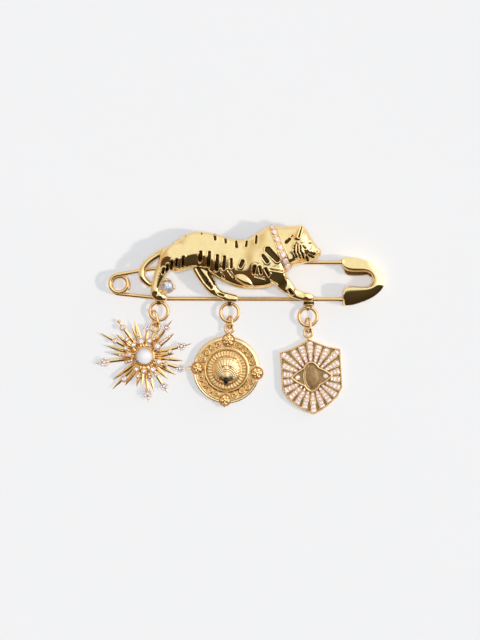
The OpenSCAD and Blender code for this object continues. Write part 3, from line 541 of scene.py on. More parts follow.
def groove(row, lip):
    """Shift of the skin in and beside an engraved line."""
    x0, y0, x1, y1, w0, w1, depth = row

    def fn(p):
        t, off = beside(p[:, :2], np.array([x0, y0]), np.array([x1, y1]))
        off = off - (w0 + (w1 - w0) * t)
        return depth * step01(0.5 - off / WALL) - lip * bell(off - LIP_AT, LIP_WIDTH)
    reach = max(w0, w1) + 0.8
    return (fn, (min(x0, x1) - reach, min(y0, y1) - reach, SKIN_Z[0]),
            (max(x0, x1) + reach, max(y0, y1) + reach, SKIN_Z[1]))


def lug(x, wire_y, ring_y, width):
    """Small plate under a paw with a hole for its ring."""
    a, b = np.array([wire_y, LUG_WIRE_Z]), np.array([ring_y, LUG_RING_Z])

    def fn(p):
        t, body = beside(p[:, 1:], a, b)
        hole = np.linalg.norm(p[:, 1:] - b, axis=1) - LUG_HOLE
        plate = np.maximum(body - (LUG_R - LUG_TAPER * t), -hole)
        return np.maximum(plate, np.abs(p[:, 0] - x) - width / 2)
    return fn, (x - 1.6, ring_y - 2, 0), (x + 1.6, wire_y + 2, 3.6)


def engraved(c):
    """True for points at the bottom of an engraved line."""
    dark = np.zeros(len(c), bool)
    for row in LINES:
        fn, lo, hi = groove(row, 0)
        m = np.all((c >= lo) & (c <= hi), axis=1)
        dark[m] |= fn(c[m]) > 0.6 * row[6]
    return dark


def tiger():
    """Cast animal: body, tail, legs, head and lugs, then its swellings and engraved lines."""
    cast = Field()
    cast.step("add", torso, (-22, 7, 2), (22.2, 26, 10), 0.3)
    for rows, k, flat in ((TAIL, 0.3, False), (HIND, 0.6, True), (FORE, 0.6, True), (EAR, 0.3, False),
                          (BROW, 0.3, False)):
        cast.limb(rows, k, flat)
    for row in FACE:
        cast.ball(*row)
    cast.limb(FAR, 0.12, True)
    for row in LUGS:
        cast.step("add", *lug(*row), 0.1)
    cast.step("cut", back_space, (-40, 9, 0), (40, 27, 6), 0.15)
    cast.limb(LEAF, 0.4, True)
    for row in SWELLS:
        cast.swell(*row)
    for row in LINES:
        cast.step("shift", *groove(row, FLANK_LIP if row in FLANK_STRIPES else LIP))
    pts, quads = skin_of(cast, (-28, 2.2, 0.4), (22.2, 25.8, 9.6), SKIN_STEP)
    body = Soup()
    body.add(pts, quads.tolist())
    # The lines' bottoms take the near-black gold: the stripes' black enamel, and painted shade in the ear's
    # crease and on the far leg.
    body.mats = engraved(pts[quads].mean(1)).astype(int).tolist()
    body.piece("tiger_body", [GOLD, DARK], "gold", "tiger")


def paw_bead():
    """Rough bead between the fore paw and its ring, with two wires over it."""
    bead = Soup()
    bead.ball(BEAD, 1, 14, 20, BEAD_SIZE)
    x, y, z = BEAD
    for off, half in ((0.5, 1.05), (-0.4, 1.2)):
        arch = [(x + half * cos(t), y + off, z - 0.1 + 0.8 * sin(t)) for t in np.linspace(0, pi, 9)]
        bead.tube(arch, BEAD_TUBE, 8, mat=1)
    bead.piece("paw_bead", [DARK, DEEP], "gold")


def crystal_mount():
    """Collet, prongs and struts that hold the crystal by the hind foot, and the crystal."""
    x, y, z, r = CRYSTAL
    mount, gem = Soup(), Soup()
    mount.ring((x, y, z - 0.9), 0.72 * r, 0.3)
    mount.ring((x, y, z - 0.35), 0.95 * r, 0.2)
    prong = ((0.7 * r, -0.9), (r + 0.2, -0.1), (r + 0.08, 0.4), (r - 0.25, 0.62))
    for first, last in PRONGS:
        mount.tube([away((x, y, z), r + 0.12, a, 0.15) for a in np.linspace(first, last, 7)], 0.27)
        mid = (first + last) / 2
        mount.tube([away((x, y, z), out, mid, up) for out, up in prong], [0.26, 0.26, 0.24, 0.14])
    mount.tube([(x - 1, y + 0.6, 2.4), (-21.8, 9.9, 3.4)], 0.4)
    mount.tube([(x - 0.9, y - 0.8, 2.4), (-22.2, 7.4, 3)], 0.4)
    mount.piece("crystal_mount", [GOLD], "gold")
    gem.stone((x, y, z), r, sides=10, table=0.36, crown=0.5)
    gem.piece("crystal_gem", [CLEAR], "clear_stone", "leg_crystal")


# The collar

COLLAR_W = 1.9
# Where its ends lie along the body, and how far its middle is in front of them
COLLAR_X = 8.3
COLLAR_SWEEP = 4.7
COLLAR_STONE_R = 0.82
# Angles of the stones from the band's top end, and of a stone's claws from its middle
COLLAR_STONES = [20 + 20.4 * k for k in range(8)]
CLAW_TURN = 9.35


def collar_at(a, along, off):
    """Point of the neck band: angle from its top end, distance across it, stand-off from the skin."""
    u = radians(min(max(a, 0), 180))
    x = COLLAR_X + COLLAR_SWEEP * sin(u / 2) ** 1.6 + along
    middle, half, depth = across(x)
    under = 0.03 * min(a, 0, 180 - a)
    return x, middle + (half + off) * cos(u), BACK + EDGE + (depth + off) * sin(u) + under


def collar():
    """Band with a wire along each side, its stones and their claws."""
    band, gems = Soup(), Soup()
    turns = [-18, -9] + [4.5 * k for k in range(41)] + [189, 198]
    side = COLLAR_W / 2
    corners = ((-side, 0), (side, 0), (side, 0.22), (-side, 0.22))
    band.loft([[collar_at(a, along, off) for along, off in corners] for a in turns], mat=1, smooth=False)
    for s in (-1, 1):
        band.tube([collar_at(a, s * (side - 0.08), 0.3) for a in turns], 0.15, 8)
    for a in COLLAR_STONES:
        for turn in (-CLAW_TURN, CLAW_TURN):
            for s in (-1, 1):
                band.ball(collar_at(a + turn, s * 0.5, 0.45), 0.18, 5, 8)
        _, half, depth = across(collar_at(a, 0, 0)[0])
        outwards = (0.1, cos(radians(a)) / half, sin(radians(a)) / depth)
        gems.stone(collar_at(a, 0, 0.38), COLLAR_STONE_R, outwards, turn=20 + a)
    band.piece("collar_band", [GOLD, CAST], "gold", "collar")
    gems.piece("collar_gems", [STONE], "pink_stone", "collar_stones")


# The clasp

# Edges from the mouth's upper side round the bend to its lower side:
# outer x, y, inner x, y of the front sheet, height where the front sheet ends inside
CLASP = [
    (27.2, 16.35, 27.3, 14.6, 3.7), (28.4, 16.75, 28.1, 13.5, 3.7), (30, 16.75, 29.6, 12.97, 3.7),
    (31.6, 16.5, 31.3, 12.92, 3.7), (33.4, 15.95, 33, 12.98, 3.7), (35, 15.1, 34.1, 12.8, 3.6),
    (36.4, 14.15, 34.9, 12.2, 3.4), (37.55, 13.1, 35.3, 11.4, 3.2), (38.3, 12, 35.42, 10.8, 3.1),
    (38.5, 10.9, 35.4, 10.45, 3), (38.46, 9.9, 35.35, 10.15, 3), (38.25, 8.9, 35.2, 9.85, 3),
    (37.7, 8.05, 34.95, 9.5, 3.1), (36.9, 7.2, 34.55, 9.15, 3.2), (35.6, 6.2, 33.9, 8.95, 3.3),
    (34, 5.35, 33, 8.87, 3.3), (32.2, 4.65, 31.6, 8.95, 3.3), (30.4, 4.1, 30.1, 9.05, 3.2),
    (29, 3.9, 28.9, 9, 3), (28, 3.85, 28.05, 8.6, 2.8), (27.5, 3.85, 27.6, 7.7, 2.6)]
# Rows of the table along which the front sheet stands open towards the notch
OPEN_ROWS = 7
# Sheet's back there, and beyond: share of the way in, height
OPEN_BACK = ((0.985, 3.35), (0.13, 3.35), (0.13, 0.4))
SHUT_BACK = ((1, 1.5), (1, 0.35), (0.95, 0.05))
# Steps between two rows
CLASP_STEPS = 4
CLASP_TOP = 4.88
# Height of the back sheet's lip
LIP_TOP = 1.9
# Fall of the front sheet from its ridge to its outer edge, as a share of the way
CLASP_FALL = 0.5
# Place of its ridge, as a share of the way in: on the upper arm, and on the lower arm
RIDGE = 0.76
LOW_RIDGE = 0.9
# Rows of the table between which it moves over
RIDGE_MOVES = (12, 16)
# The lower arm first slopes gently beside its ridge: slope, and share of the width
LOW_SLOPE = 0.14
LOW_SHARE = 0.33
# Back sheet beside the slot that lets the arm out
BACK_SHEET = [(27.9, 14.5), (27.8, 13.7), (28.2, 12.7), (29.1, 12.05), (31, 11.95), (32.8, 12), (34.1, 12.15),
              (35, 11.6), (36.8, 11.6), (36.2, 13.6), (34.4, 14.5)]


def clasp_height(t, low, ridge, inner_z, width):
    """Height of the puffed sheet at t of the way in. low is 0 on the upper arm and 1 on the lower one."""
    if t < ridge:
        u = (ridge - t) / ridge
        steep = (CLASP_FALL - LOW_SLOPE) * (max(u - LOW_SHARE, 0) / (1 - LOW_SHARE)) ** 1.5
        return CLASP_TOP - ridge * width * ((1 - low) * CLASP_FALL * u ** 1.8 + low * (LOW_SLOPE * u + steep))
    return inner_z + (CLASP_TOP - inner_z) * sqrt(max(1 - ((t - ridge) / (1 - ridge)) ** 2, 0))


def clasp():
    """Front sheet with a rolled edge, and back sheet with a turned-up lip."""
    cap = Soup()
    outside, inside = [], []
    for i, (ox, oy, ix, iy, inner_z) in enumerate(refined(CLASP, CLASP_STEPS)):
        def spot(t, z):
            return ox + (ix - ox) * t, oy + (iy - oy) * t, z
        low = step01((i / CLASP_STEPS - RIDGE_MOVES[0]) / (RIDGE_MOVES[1] - RIDGE_MOVES[0]))
        ridge = RIDGE + (LOW_RIDGE - RIDGE) * low
        steps = [ridge * (1 - cos(pi * k / 24)) for k in range(13)]
        steps += [ridge + (1 - ridge) * sin(pi * k / 16) for k in range(1, 9)]
        width = hypot(ix - ox, iy - oy)
        sheet = [spot(0.06, 0.05), spot(0, 0.35), spot(0, 1)]
        sheet += [spot(t, clasp_height(t, low, ridge, inner_z, width)) for t in steps]
        outside.append(sheet)
        back = OPEN_BACK if i < OPEN_ROWS * CLASP_STEPS else SHUT_BACK
        inside.append([sheet[-1], *[spot(*p) for p in back], sheet[0]])
    cap.loft(outside, loop=False)
    cap.loft(inside, mat=1, smooth=False, loop=False)
    for end in (0, -1):
        ring = outside[end] + inside[end][1:-1]
        cap.add(ring, [tuple(range(len(ring)))], 1, False)
    rim = [o[-1] for o in outside[:(OPEN_ROWS - 1) * CLASP_STEPS]]
    cap.tube(rim, [0.06] + [0.13] * (len(rim) - 2) + [0.04], 8)
    cap.prism(BACK_SHEET, 0.05, 0.5, 1)
    lip = refined(BACK_SHEET[1:8], 4)
    foot, top = ([(x, y, z) for x, y in lip] for z in (0.1, LIP_TOP))
    behind = [(x, y + 1, 0.5) for x, y in lip]
    cap.loft(list(zip(top, behind)), 1, loop=False)
    cap.loft(list(zip(foot, top)), 1, loop=False)
    cap.tube(top, [0.05] + [0.12] * (len(lip) - 2) + [0.05], 8)
    cap.piece("clasp_sheet", [GOLD, DULL], "gold", "clasp_cap")


# The sunburst

# Eyes of the three drops: x, y
DROP_EYES = [(-22.75, -1.95), (-2.9, -2.35), (18.25, -3.45)]
EYE_Z = 1.15
EYE_R = 1.15
EYE_WIRE = 0.32
SUN = (-25.55, -9.67)
# Where a spike starts: distance from the middle, and height
SPIKE_FOOT = (1.9, 1.25)
# Least height of a spike's underside
SPIKE_LOW = 0.06
# Half width from which a spike is two wires side by side
BROAD = 0.7
# Beads of the pearl's cup
CUP_BEADS = 26
# Spikes: angle, length, half width at the hub, height of the tip
SPIKES = [
    (5, 8, 0.7, 1.9), (15, 12.9, 0.5, 1), (37.5, 9.9, 0.95, 1.6), (52.6, 12, 0.55, 1), (84, 8.4, 0.6, 1.1),
    (105.5, 9.9, 0.8, 1.5), (113, 8.9, 0.6, 1.1), (127, 11.8, 0.5, 1), (142, 9.5, 0.8, 1.5),
    (152.6, 13.3, 0.5, 0.9), (164.6, 10.4, 0.7, 1.3), (175.4, 9, 0.8, 1.7), (188.5, 13.1, 0.5, 0.9),
    (216.7, 10.4, 0.6, 1.2), (225.7, 12.3, 0.55, 0.8), (236.4, 9.4, 0.8, 1.5), (255, 8.4, 0.7, 1.2),
    (264, 8.3, 0.6, 1.7), (274.7, 12.4, 0.5, 0.9), (285.1, 9.8, 0.6, 1.4), (302.2, 11.7, 0.5, 1),
    (316, 8.8, 0.7, 1.5), (329.2, 9.8, 0.75, 1.5), (340.7, 11, 0.45, 1), (353.2, 10.3, 0.6, 1.5)]
# Claw-set clusters near the tips: angle, distance, height, petals, reach of the petals
CLUSTERS = [(302.6, 9.6, 1.4, 7, 0.95), (340.7, 10.1, 1.4, 8, 0.95), (14.8, 10.2, 1.4, 8, 1.05),
            (52.8, 9.6, 1.4, 8, 1), (84.3, 7.4, 1.5, 6, 0.9)]
# Longer buds of petals: angle, distance, height; and their petals: along, aside, radius
BUDS = [(188.5, 10.7, 1.4), (274.3, 9.9, 1.4)]
PETALS = [(1.35, 0.15, 0.3), (0.75, 0.62, 0.34), (0.6, -0.6, 0.36), (-0.15, 0.85, 0.32), (-0.2, -0.85, 0.3),
          (-0.85, 0.45, 0.3), (-0.9, -0.4, 0.28), (0.15, 0, 0.42)]
# Single stones: angle, distance, radius, height
SUN_STONES = [
    (152.6, 8.9, 0.6, 1.75), (228, 8.2, 0.78, 1.9), (127.5, 9.6, 0.62, 1.7), (136.5, 6.5, 0.5, 2.2),
    (104, 4.1, 0.78, 2.5), (73, 4.3, 0.65, 2.5), (38, 4.3, 0.82, 2.5), (338, 4.1, 0.75, 2.5),
    (302, 4.2, 0.68, 2.5), (268, 4, 0.6, 2.5), (238, 4.1, 0.62, 2.5), (174.6, 4, 0.55, 2.5),
    (157, 5.5, 0.5, 2.2), (106.7, 5.9, 0.5, 2.3), (252.5, 5.6, 0.5, 2.2), (340, 6.1, 0.5, 2.2),
    (11, 6.9, 0.5, 2.3), (302, 5.8, 0.45, 2.2), (135, 4.2, 0.6, 2.5)]
# Rows of small stones along a spike: angle, first and last distance, count, radius at each end, height
PAVE = [
    (177.5, 4.9, 6.6, 3, 0.36, 0.3, 2), (38, 5.7, 8.3, 5, 0.4, 0.26, 2), (198, 3.6, 5.2, 3, 0.34, 0.3, 2.1),
    (62, 5.2, 6.6, 3, 0.34, 0.28, 2), (284, 5, 6.6, 3, 0.34, 0.28, 1.9)]


def sun_at(a, r, z, side=0):
    """Point of the sunburst: angle, distance from its middle, height, and how far aside."""
    return away(away((*SUN, z), r, a), side, a + 90)


def drop_eye(soup, i, foot):
    """Ring at the top of a drop and the stem that joins it to the drop."""
    x, y = DROP_EYES[i]
    soup.ring((x, y, EYE_Z), EYE_R, EYE_WIRE)
    soup.tube([(x, y - EYE_R, EYE_Z), foot], [0.42, 0.6])


def spike(rays, a, length, w, tip):
    """Square spike, or two wires that meet at the tip."""
    out, up = SPIKE_FOOT
    for side in ((-1, 1) if w >= BROAD else (0,)):
        half = 0.42 if side else 0.34 + 0.26 * w
        sections = []
        for t, share in ((0, 0.9), (0.3, 1), (0.75, 0.78), (1, 0.12)):
            r, z = out + (length - out) * t, up + (tip - up) * t
            mid = side * 0.5 * w * (1 - t) ** 0.8
            h = half * share
            sections.append([sun_at(a, r, max(z + h * rise, SPIKE_LOW), mid + h * aside)
                             for aside, rise in ((1, 0), (0, 0.5), (-1, 0), (0, -0.5))])
        rays.loft(sections, smooth=False)


def single_stone(rays, gems, a, r, size, z):
    """Stone in a round cup with four claws."""
    cup = [sun_at(a, r, height) for height in (0.7, z - 0.55, z - 0.05)]
    rays.tube(cup, [0.4 * size, 0.6 * size, size + 0.1], 12)
    rays.ring(sun_at(a, r, z - 0.02), size + 0.06, 0.1, 20, 6)
    for k in range(4):
        rays.claw(away(sun_at(a, r, z), size, 45 + 90 * k + a, 0.1), 0.15)
    gems.stone(sun_at(a, r, z + 0.04), size, turn=a)


def stone_row(rays, gems, a, first, last, count, r0, r1, z):
    """Small stones along a spike, with a claw at each side."""
    for k in range(count):
        t = k / (count - 1)
        r, size = first + (last - first) * t, r0 + (r1 - r0) * t
        gems.stone(sun_at(a, r, z - 0.3 * t + 0.05), size, turn=a, sides=6)
        for side in (-1, 1):
            rays.claw(sun_at(a, r + size, z - 0.3 * t, side * size * 0.9))
    rays.tube([sun_at(a, first - 0.5, z - 0.45), sun_at(a, last + 0.4, z - 0.75)], [r0 + 0.12, r1 + 0.08], 8)


def cluster(rays, gems, a, r, z, count, reach):
    """A stone with petals of stones round it, each on a claw."""
    mid = sun_at(a, r, z)
    rays.tube([away(mid, 0, 0, -0.6), away(mid, 0, 0, -0.1)], [0.3, 0.5], 10)
    gems.stone(away(mid, 0, 0, 0.2), 0.46, turn=a)
    for k in range(count):
        turn = a + 360 * (k + 0.5) / count
        gems.stone(away(mid, 0.85 * reach, turn, 0.1), 0.27, turn=turn, sides=6, long=1.3)
        rays.tube([away(mid, 0.372, turn, -0.1), away(mid, 1.15 * reach, turn)], [0.16, 0.08], 6)


def bud(rays, gems, a, r, z):
    """Long bud of stones."""
    rays.tube([sun_at(a, r - 1.2, z - 0.5), sun_at(a, r + 1.2, z - 0.35)], [0.5, 0.3], 8)
    for along, aside, size in PETALS:
        gems.stone(sun_at(a, r + along, z + 0.1, aside), size, turn=a + 60 * aside, sides=6, long=1.35)
        rays.claw(sun_at(a, r + along + size + 0.1, z + 0.05, 1.2 * aside))


def sunburst():
    """Spikes round a hub with the pearl's cup, and their stones."""
    rays, gems = Soup(), Soup()
    for row in SPIKES:
        spike(rays, *row)
    rays.tube([(*SUN, z) for z in (0.15, 0.2, 1.5, 1.7)], [2.5, 2.8, 2.8, 2.4], 32)
    for k in range(CUP_BEADS):
        rays.ball(sun_at(360 * k / CUP_BEADS, 2.42, 1.95), 0.24, 5, 8)
    for table, setting in ((SUN_STONES, single_stone), (PAVE, stone_row), (CLUSTERS, cluster), (BUDS, bud)):
        for row in table:
            setting(rays, gems, *row)
    rays.ball(sun_at(126.6, 11.6, 1), 0.5)
    drop_eye(rays, 0, sun_at(69, 3.4, 1.2))
    rays.piece("sunburst_rays", [WARM], "gold", "sunburst")
    gems.piece("sunburst_gems", [SMOKY], "pink_stone", "sunburst_stones")


# The medallion

MEDAL = (-3.58, -13.35)
MEDAL_TURN = -3.3
MEDAL_R = 8.95
# Points round it, and rings of points from its middle to its edge
MEDAL_GRID = (540, 116)
# Height of the ground between the scrolls, and of the field round the dome
GROUND_Z = 1.42
FIELD_Z = 1.6
# Radii: inner edge of the rim, middle and inner edge of the scrolls, hoop, trench, teeth
RIM_R = 7.95
SCROLL_R = 7.05
SCROLL_IN = 6.2
HOOP_R = 5.75
TRENCH_R = 5.3
TEETH_R = 5.17
TEETH = 36
# Pitch of a scroll's turns, and its height
SCROLL_PITCH = 0.85
SCROLL_H = 0.42
# Direction in which the rim is broadest
BROAD_RIM = 55
DOME_R = 4.05
DOME_Z = 3.45
# Lobes: direction, distance of the middle, radius, reach of the point
LOBES = [(-3, 8.15, 1.75, 10), (90, 7.9, 1.8, 9.7), (180, 7.9, 1.7, 11), (270, 8.1, 1.65, 10.15)]
# Ears, hollows of the ears, brows, eyes and cheeks: height, x, y, reach, stretch along x
FACE_PARTS = [(0.35, 2.55, 3.3, 0.6, 1), (-0.3, 2.5, 3.2, 0.25, 1), (0.1, 1, 1.35, 0.4, 1.4),
              (-0.05, 1, 0.7, 0.3, 1), (0.14, 0.85, -2.9, 0.5, 1.1)]
# Dull olive spots of the face, their darkness painted shade in the eye and ear hollows: x, y, radius
HOLLOW_SHADE_SPOTS = [(-1.09, 0.8, 0.34), (0.96, 0.6, 0.36), (2.5, 3.2, 0.2), (-2.5, 3.2, 0.25)]


def seen_from(x, y, cx, cy):
    """Distance and direction of points from a centre."""
    return np.hypot(x - cx, y - cy), np.arctan2(y - cy, x - cx)


def lobe_edge(delta, mid, r, reach):
    """Distance to a lobe's outline at an angle from its direction."""
    side = mid * np.sin(delta)
    circle = np.where(np.abs(side) < r, mid * np.cos(delta) + np.sqrt(np.maximum(r * r - side ** 2, 0)), 0)
    point = reach / (1 + np.abs(delta) * (reach - 8.7) / 0.85)
    return np.maximum(circle, np.where(np.abs(delta) < 0.16, point, 0))


def scrolls(x, y):
    """Height of the scrollwork: curled stems between the lobes."""
    h = np.zeros_like(x)
    for quarter in range(4):
        for k, hand in ((-1.55, 1), (-0.5, -1), (0.5, 1), (1.55, -1)):
            rho, turn = seen_from(x, y, *polar(SCROLL_R, 45 + 90 * quarter + 15.5 * k))
            coil = np.cos(TAU * rho / SCROLL_PITCH - hand * turn + k)
            h = np.maximum(h, (0.5 + 0.5 * coil) * step01((1.05 - rho) / 0.25))
    return h


def animal_face(x, y):
    """Height that the face adds to the dome: ears, brows, eyes, muzzle and fur."""
    rho, turn = seen_from(x, y, 0, -2.2)
    fur = step01((rho - 1.3) / 0.8) * step01((3.95 - np.hypot(x, y)) / 0.3)
    h = (0.035 * np.cos(turn * 36) + 0.03 * np.cos(TAU * rho / 0.5)) * fur
    for height, at_x, at_y, reach, stretch in FACE_PARTS:
        for side in (-1, 1):
            h += height * bell(np.hypot((x - side * at_x) / stretch, y - at_y), reach)
    h += 0.16 * bell(x, 0.5) * step01((1 - y) / 0.6) * step01((y + 2.6) / 0.5)
    h -= 0.25 * bell(np.hypot(x / 3.2, y + 4.05), 0.14)
    return h


def medal_height(r, a, edge):
    """Height of the medallion's front."""
    x, y = r * np.cos(a), r * np.sin(a)
    h = GROUND_Z + SCROLL_H * scrolls(x, y) * step01((r - SCROLL_IN) / 0.1)
    # The rim is a broad slope on one side, and two thin ridges opposite
    broad = step01(0.4 + 0.9 * np.cos(a - radians(BROAD_RIM)))
    slope = 2.05 - 0.6 * np.clip(r - 8, 0, 1) ** 1.8
    ridges = FIELD_Z + 0.13 * bell(r - 8.15, 0.15) + 0.15 * bell(r - 8.7, 0.17)
    h = np.where(r >= RIM_R, slope * broad + ridges * (1 - broad), h)
    h = np.where(np.abs(r - HOOP_R) < 0.35, 1.7 + 0.22 * bell(r - HOOP_R, 0.18), h)
    h = np.where(np.abs(r - TRENCH_R) < 0.13, 1.05, h)
    teeth = step01(0.5 + 1.2 * np.cos(a * TEETH)) * step01((5.1 - r) / 0.12)
    h = np.where(r < TEETH_R, FIELD_Z + 0.2 * teeth, h)
    dome = FIELD_Z + (DOME_Z - FIELD_Z) * (1 - np.minimum(r / DOME_R, 1) ** 4.2)
    dome = dome + animal_face(x, y) * step01((DOME_R + 0.5 - r) / 0.4)
    h = np.maximum(h, np.where(r < DOME_R + 0.6, dome, 0))
    for direction, mid, size, _ in LOBES:
        rho, turn = seen_from(x, y, *polar(mid, direction))
        petal = np.cos(2.5 * (turn - radians(direction))) ** 2
        plate = 1.95 - 0.8 * bell(rho - size * 0.9, 0.16) + 0.25 * bell(rho, 0.25)
        plate = plate + 0.34 * petal * bell(rho - 0.8, 0.4) - 0.2 * (1 - petal) ** 4 * bell(rho - 0.9, 0.4)
        point = (r > mid) & (np.abs(a - radians(direction)) < 0.3) & (edge > MEDAL_R + 0.02)
        h = np.where(point, FIELD_Z + 0.25 * bell(edge - r, 0.3), h)
        h = np.where(rho < size, plate, h)
    return h


def medallion():
    """Disc whose height is worked out over a round grid, with its lobes and its eye."""
    around, along = MEDAL_GRID
    a = np.linspace(0, TAU, around, endpoint=False)
    edge = np.full_like(a, MEDAL_R)
    for direction, mid, size, reach in LOBES:
        delta = (a - radians(direction) + pi) % TAU - pi
        edge = np.maximum(edge, lobe_edge(delta, mid, size, reach))
    wrapped = (a + pi / 4) % TAU - pi / 4
    radii = [edge * k / along for k in range(1, along + 1)]
    rings = [(r, medal_height(r, wrapped, edge)) for r in radii]
    rings += [(edge, np.full_like(edge, 0.6)), (edge - 0.5, np.full_like(edge, 0.04))]
    disc = Soup()
    c, s = np.cos(a + radians(MEDAL_TURN)), np.sin(a + radians(MEDAL_TURN))
    disc.loft([list(zip(MEDAL[0] + r * c, MEDAL[1] + r * s, h)) for r, h in rings])
    u, v, z = np.array(disc.verts)[np.array(disc.faces[:-2])].mean(1).T - [[MEDAL[0]], [MEDAL[1]], [0]]
    r = np.hypot(u, v)
    # Low faces between the scrolls, round the teeth and at the edge take the darker gold: painted shade
    shaded_low = ((z < 1.56) & (r > 6.2) & (r < 7.9)) | ((z < 1.7) & (r > 4.2) & (r < 5.2)) | (z < 1.4)
    # Painted shade: olive in the crease under the nose and in the eye and ear hollows
    shade_spots = np.hypot(u, (v + 4.15) * 2) < 0.7
    for x, y, size in HOLLOW_SHADE_SPOTS:
        shade_spots |= np.hypot(u - x, (v - y) * 1.2) < size
    disc.mats[:-2] = [2 if m else int(d) for d, m in zip(shaded_low, shade_spots)]
    drop_eye(disc, 1, (MEDAL[0] + 0.5, MEDAL[1] + 9, 1.3))
    disc.piece("medallion_disc", [CAST, DEEP, OLIVE], "gold", "medallion")


# The shield

SHIELD = (19.17, -15.22)
SHIELD_TURN = 3.3
RAYS = 22
# Half outline: x, y from the top point to the bottom one
SHIELD_EDGE = [
    (0, 10.1), (2.2, 9), (5, 7.75), (8.05, 7.05), (8.05, 2), (8.05, -3.2), (6.8, -5.5), (4.4, -7.6),
    (2.2, -9.1), (0, -10.1)]
# Half the length and height of the eye, and half sizes of its iris
LID_L = 5.15
LID_H = 2.3
IRIS = (2.15, 3.6)
# Heights of the plate, and of the rim and the rays
PLATE_Z = 0.9
RAY_Z = 1.5
# Distance between the rim's beads, and length of a stone
BEAD_PITCH = 0.56
STONE_PITCH = 1.05


def shield_at(x, y, *z):
    """Point of the shield, from its middle and along its axes."""
    c, s = polar(1, SHIELD_TURN)
    return SHIELD[0] + x * c - y * s, SHIELD[1] + x * s + y * c, *z


def placed(points, *z):
    """Points of the shield's plane put in their places."""
    return [shield_at(*p, *z) for p in points]


def shield_outline(inset):
    """Closed outline drawn in towards the middle."""
    half = [(x * (1 - inset / 8.6), y * (1 - inset / 8.6)) for x, y in SHIELD_EDGE]
    return half + [(-x, y) for x, y in half[-2:0:-1]]


def eye_edge(a):
    """Distance from the middle to the eye's outline in a direction."""
    c, s = abs(cos(radians(a))), abs(sin(radians(a)))
    bend = LID_H * (c / LID_L) ** 2 + 1e-6
    lid = (sqrt(s * s + 4 * bend * LID_H) - s) / (2 * bend)
    return max(1 / hypot(c / IRIS[0], s / IRIS[1]), lid)


def edge_reach(a, inset):
    """Distance from the middle to the shield's outline in a direction."""
    ux, uy = polar(1, a)
    outline = shield_outline(inset)
    best = inf
    for (px, py), (qx, qy) in zip(outline, outline[1:] + outline[:1]):
        ex, ey = qx - px, qy - py
        c = ux * ey - uy * ex
        if abs(c) > 1e-6:
            t, s = (px * ey - py * ex) / c, (px * uy - py * ux) / c
            if t > 0 and -1e-6 <= s <= 1 + 1e-6:
                best = min(best, t)
    return best


def shield_rim(plate, beads):
    """Plate with a raised rim and a row of beads along it."""
    rim, middle, inner = (placed(shield_outline(inset)) for inset in (0, 0.2, 0.36))
    plate.prism(rim, 0.04, PLATE_Z)
    plate.prism(middle, PLATE_Z - 0.05, PLATE_Z + 0.05, 2)
    # The rim takes the darker gold, which shows between its beads as painted shade
    sections = [[(*o, PLATE_Z), (*o, RAY_Z), (*i, RAY_Z), (*i, PLATE_Z)] for o, i in zip(rim, inner)]
    plate.loft(sections, 1, False, round_again=True)
    path = [Vector((*p, RAY_Z + 0.05)) for p in middle]
    for p, q in zip(path, path[1:] + path[:1]):
        count = max(1, round((q - p).length / BEAD_PITCH))
        for k in range(count):
            beads.ball(p.lerp(q, k / count), 0.25, 5, 8)


def shield_ray(plate, gems, beads, a):
    """Bar from the eye to the rim, with a wire along each side, stones and claws."""
    first, last = eye_edge(a) + 0.6, edge_reach(a, 0.45)
    half = sin(pi / RAYS)
    w0, w1 = min(0.65, first * half - 0.1), min(0.9, last * half - 0.24)

    def spot(r, side, *z):
        x, y, _ = away(away((0, 0, 0), r, a), side, a + 90)
        return shield_at(x, y, *z)
    plate.prism([spot(first, -w0), spot(last, -w1), spot(last, w1), spot(first, w0)], PLATE_Z, RAY_Z - 0.2)
    for side in (-1, 1):
        plate.tube([spot(first, side * w0, RAY_Z - 0.1), spot(last, side * w1, RAY_Z - 0.1)], 0.1, 6)
    count = max(2, round((last - first) / STONE_PITCH))
    pitch = (last - first) / count
    for n in range(count):
        t = (n + 0.5) / count
        w = w0 + (w1 - w0) * t
        middle = spot(first + (last - first) * t, 0, RAY_Z - 0.04)
        gems.step_stone(middle, 0.45 * pitch, w - 0.1, a + SHIELD_TURN)
        for side in (-1, 1):
            beads.claw(spot(first + pitch * (n + 1) - 0.08, side * (w - 0.05), RAY_Z + 0.02))


def shield_eye(plate, gems):
    """Rolled rim round a dull field, the bulging iris and a stone in each corner."""
    lids, rim = ([polar(eye_edge(a) + off, a) for a in range(0, 360, 4)] for off in (0, 0.28))
    plate.tube(placed(rim, 1.72), 0.3, 8, closed=True)
    plate.prism(placed(lids), PLATE_Z, RAY_Z, 3)
    iris = Soup()
    iris.ball((0, 0, 1.35), 1, 14, 32, (IRIS[0] * 0.9, IRIS[1] * 0.93, 0.5))
    plate.add(placed(iris.verts), iris.faces, 3)
    for share, wire, z in ((1, 0.14, 1.62), (0.84, 0.1, 1.78)):
        turns = np.linspace(-1.25, 1.25, 17)
        arc = [(-IRIS[0] * share * cos(t), IRIS[1] * share * sin(t)) for t in turns]
        plate.tube(placed(arc, z), wire, 8)
    for side in (-1, 1):
        corner = shield_at(side * 3.75, 0, 1.62)
        plate.ring(away(corner, 0, 0, -0.06), 0.62, 0.09, 20, 6)
        gems.stone(corner, 0.6)


def shield():
    """Plate with rays of stones round an eye."""
    plate, gems, beads = Soup(), Soup(), Soup()
    shield_rim(plate, beads)
    for k in range(RAYS):
        shield_ray(plate, gems, beads, 90 + 360 * k / RAYS)
    shield_eye(plate, gems)
    drop_eye(plate, 2, shield_at(0, 9.6, 1.2))
    plate.piece("shield_plate", [CAST, DEEP, OLIVE, BROWN], "gold", "shield")
    gems.piece("shield_gems", [STONE], "pink_stone", "shield_stones")
    beads.piece("shield_beads", [CAST], "gold")


# Pieces, and carried-over nodes

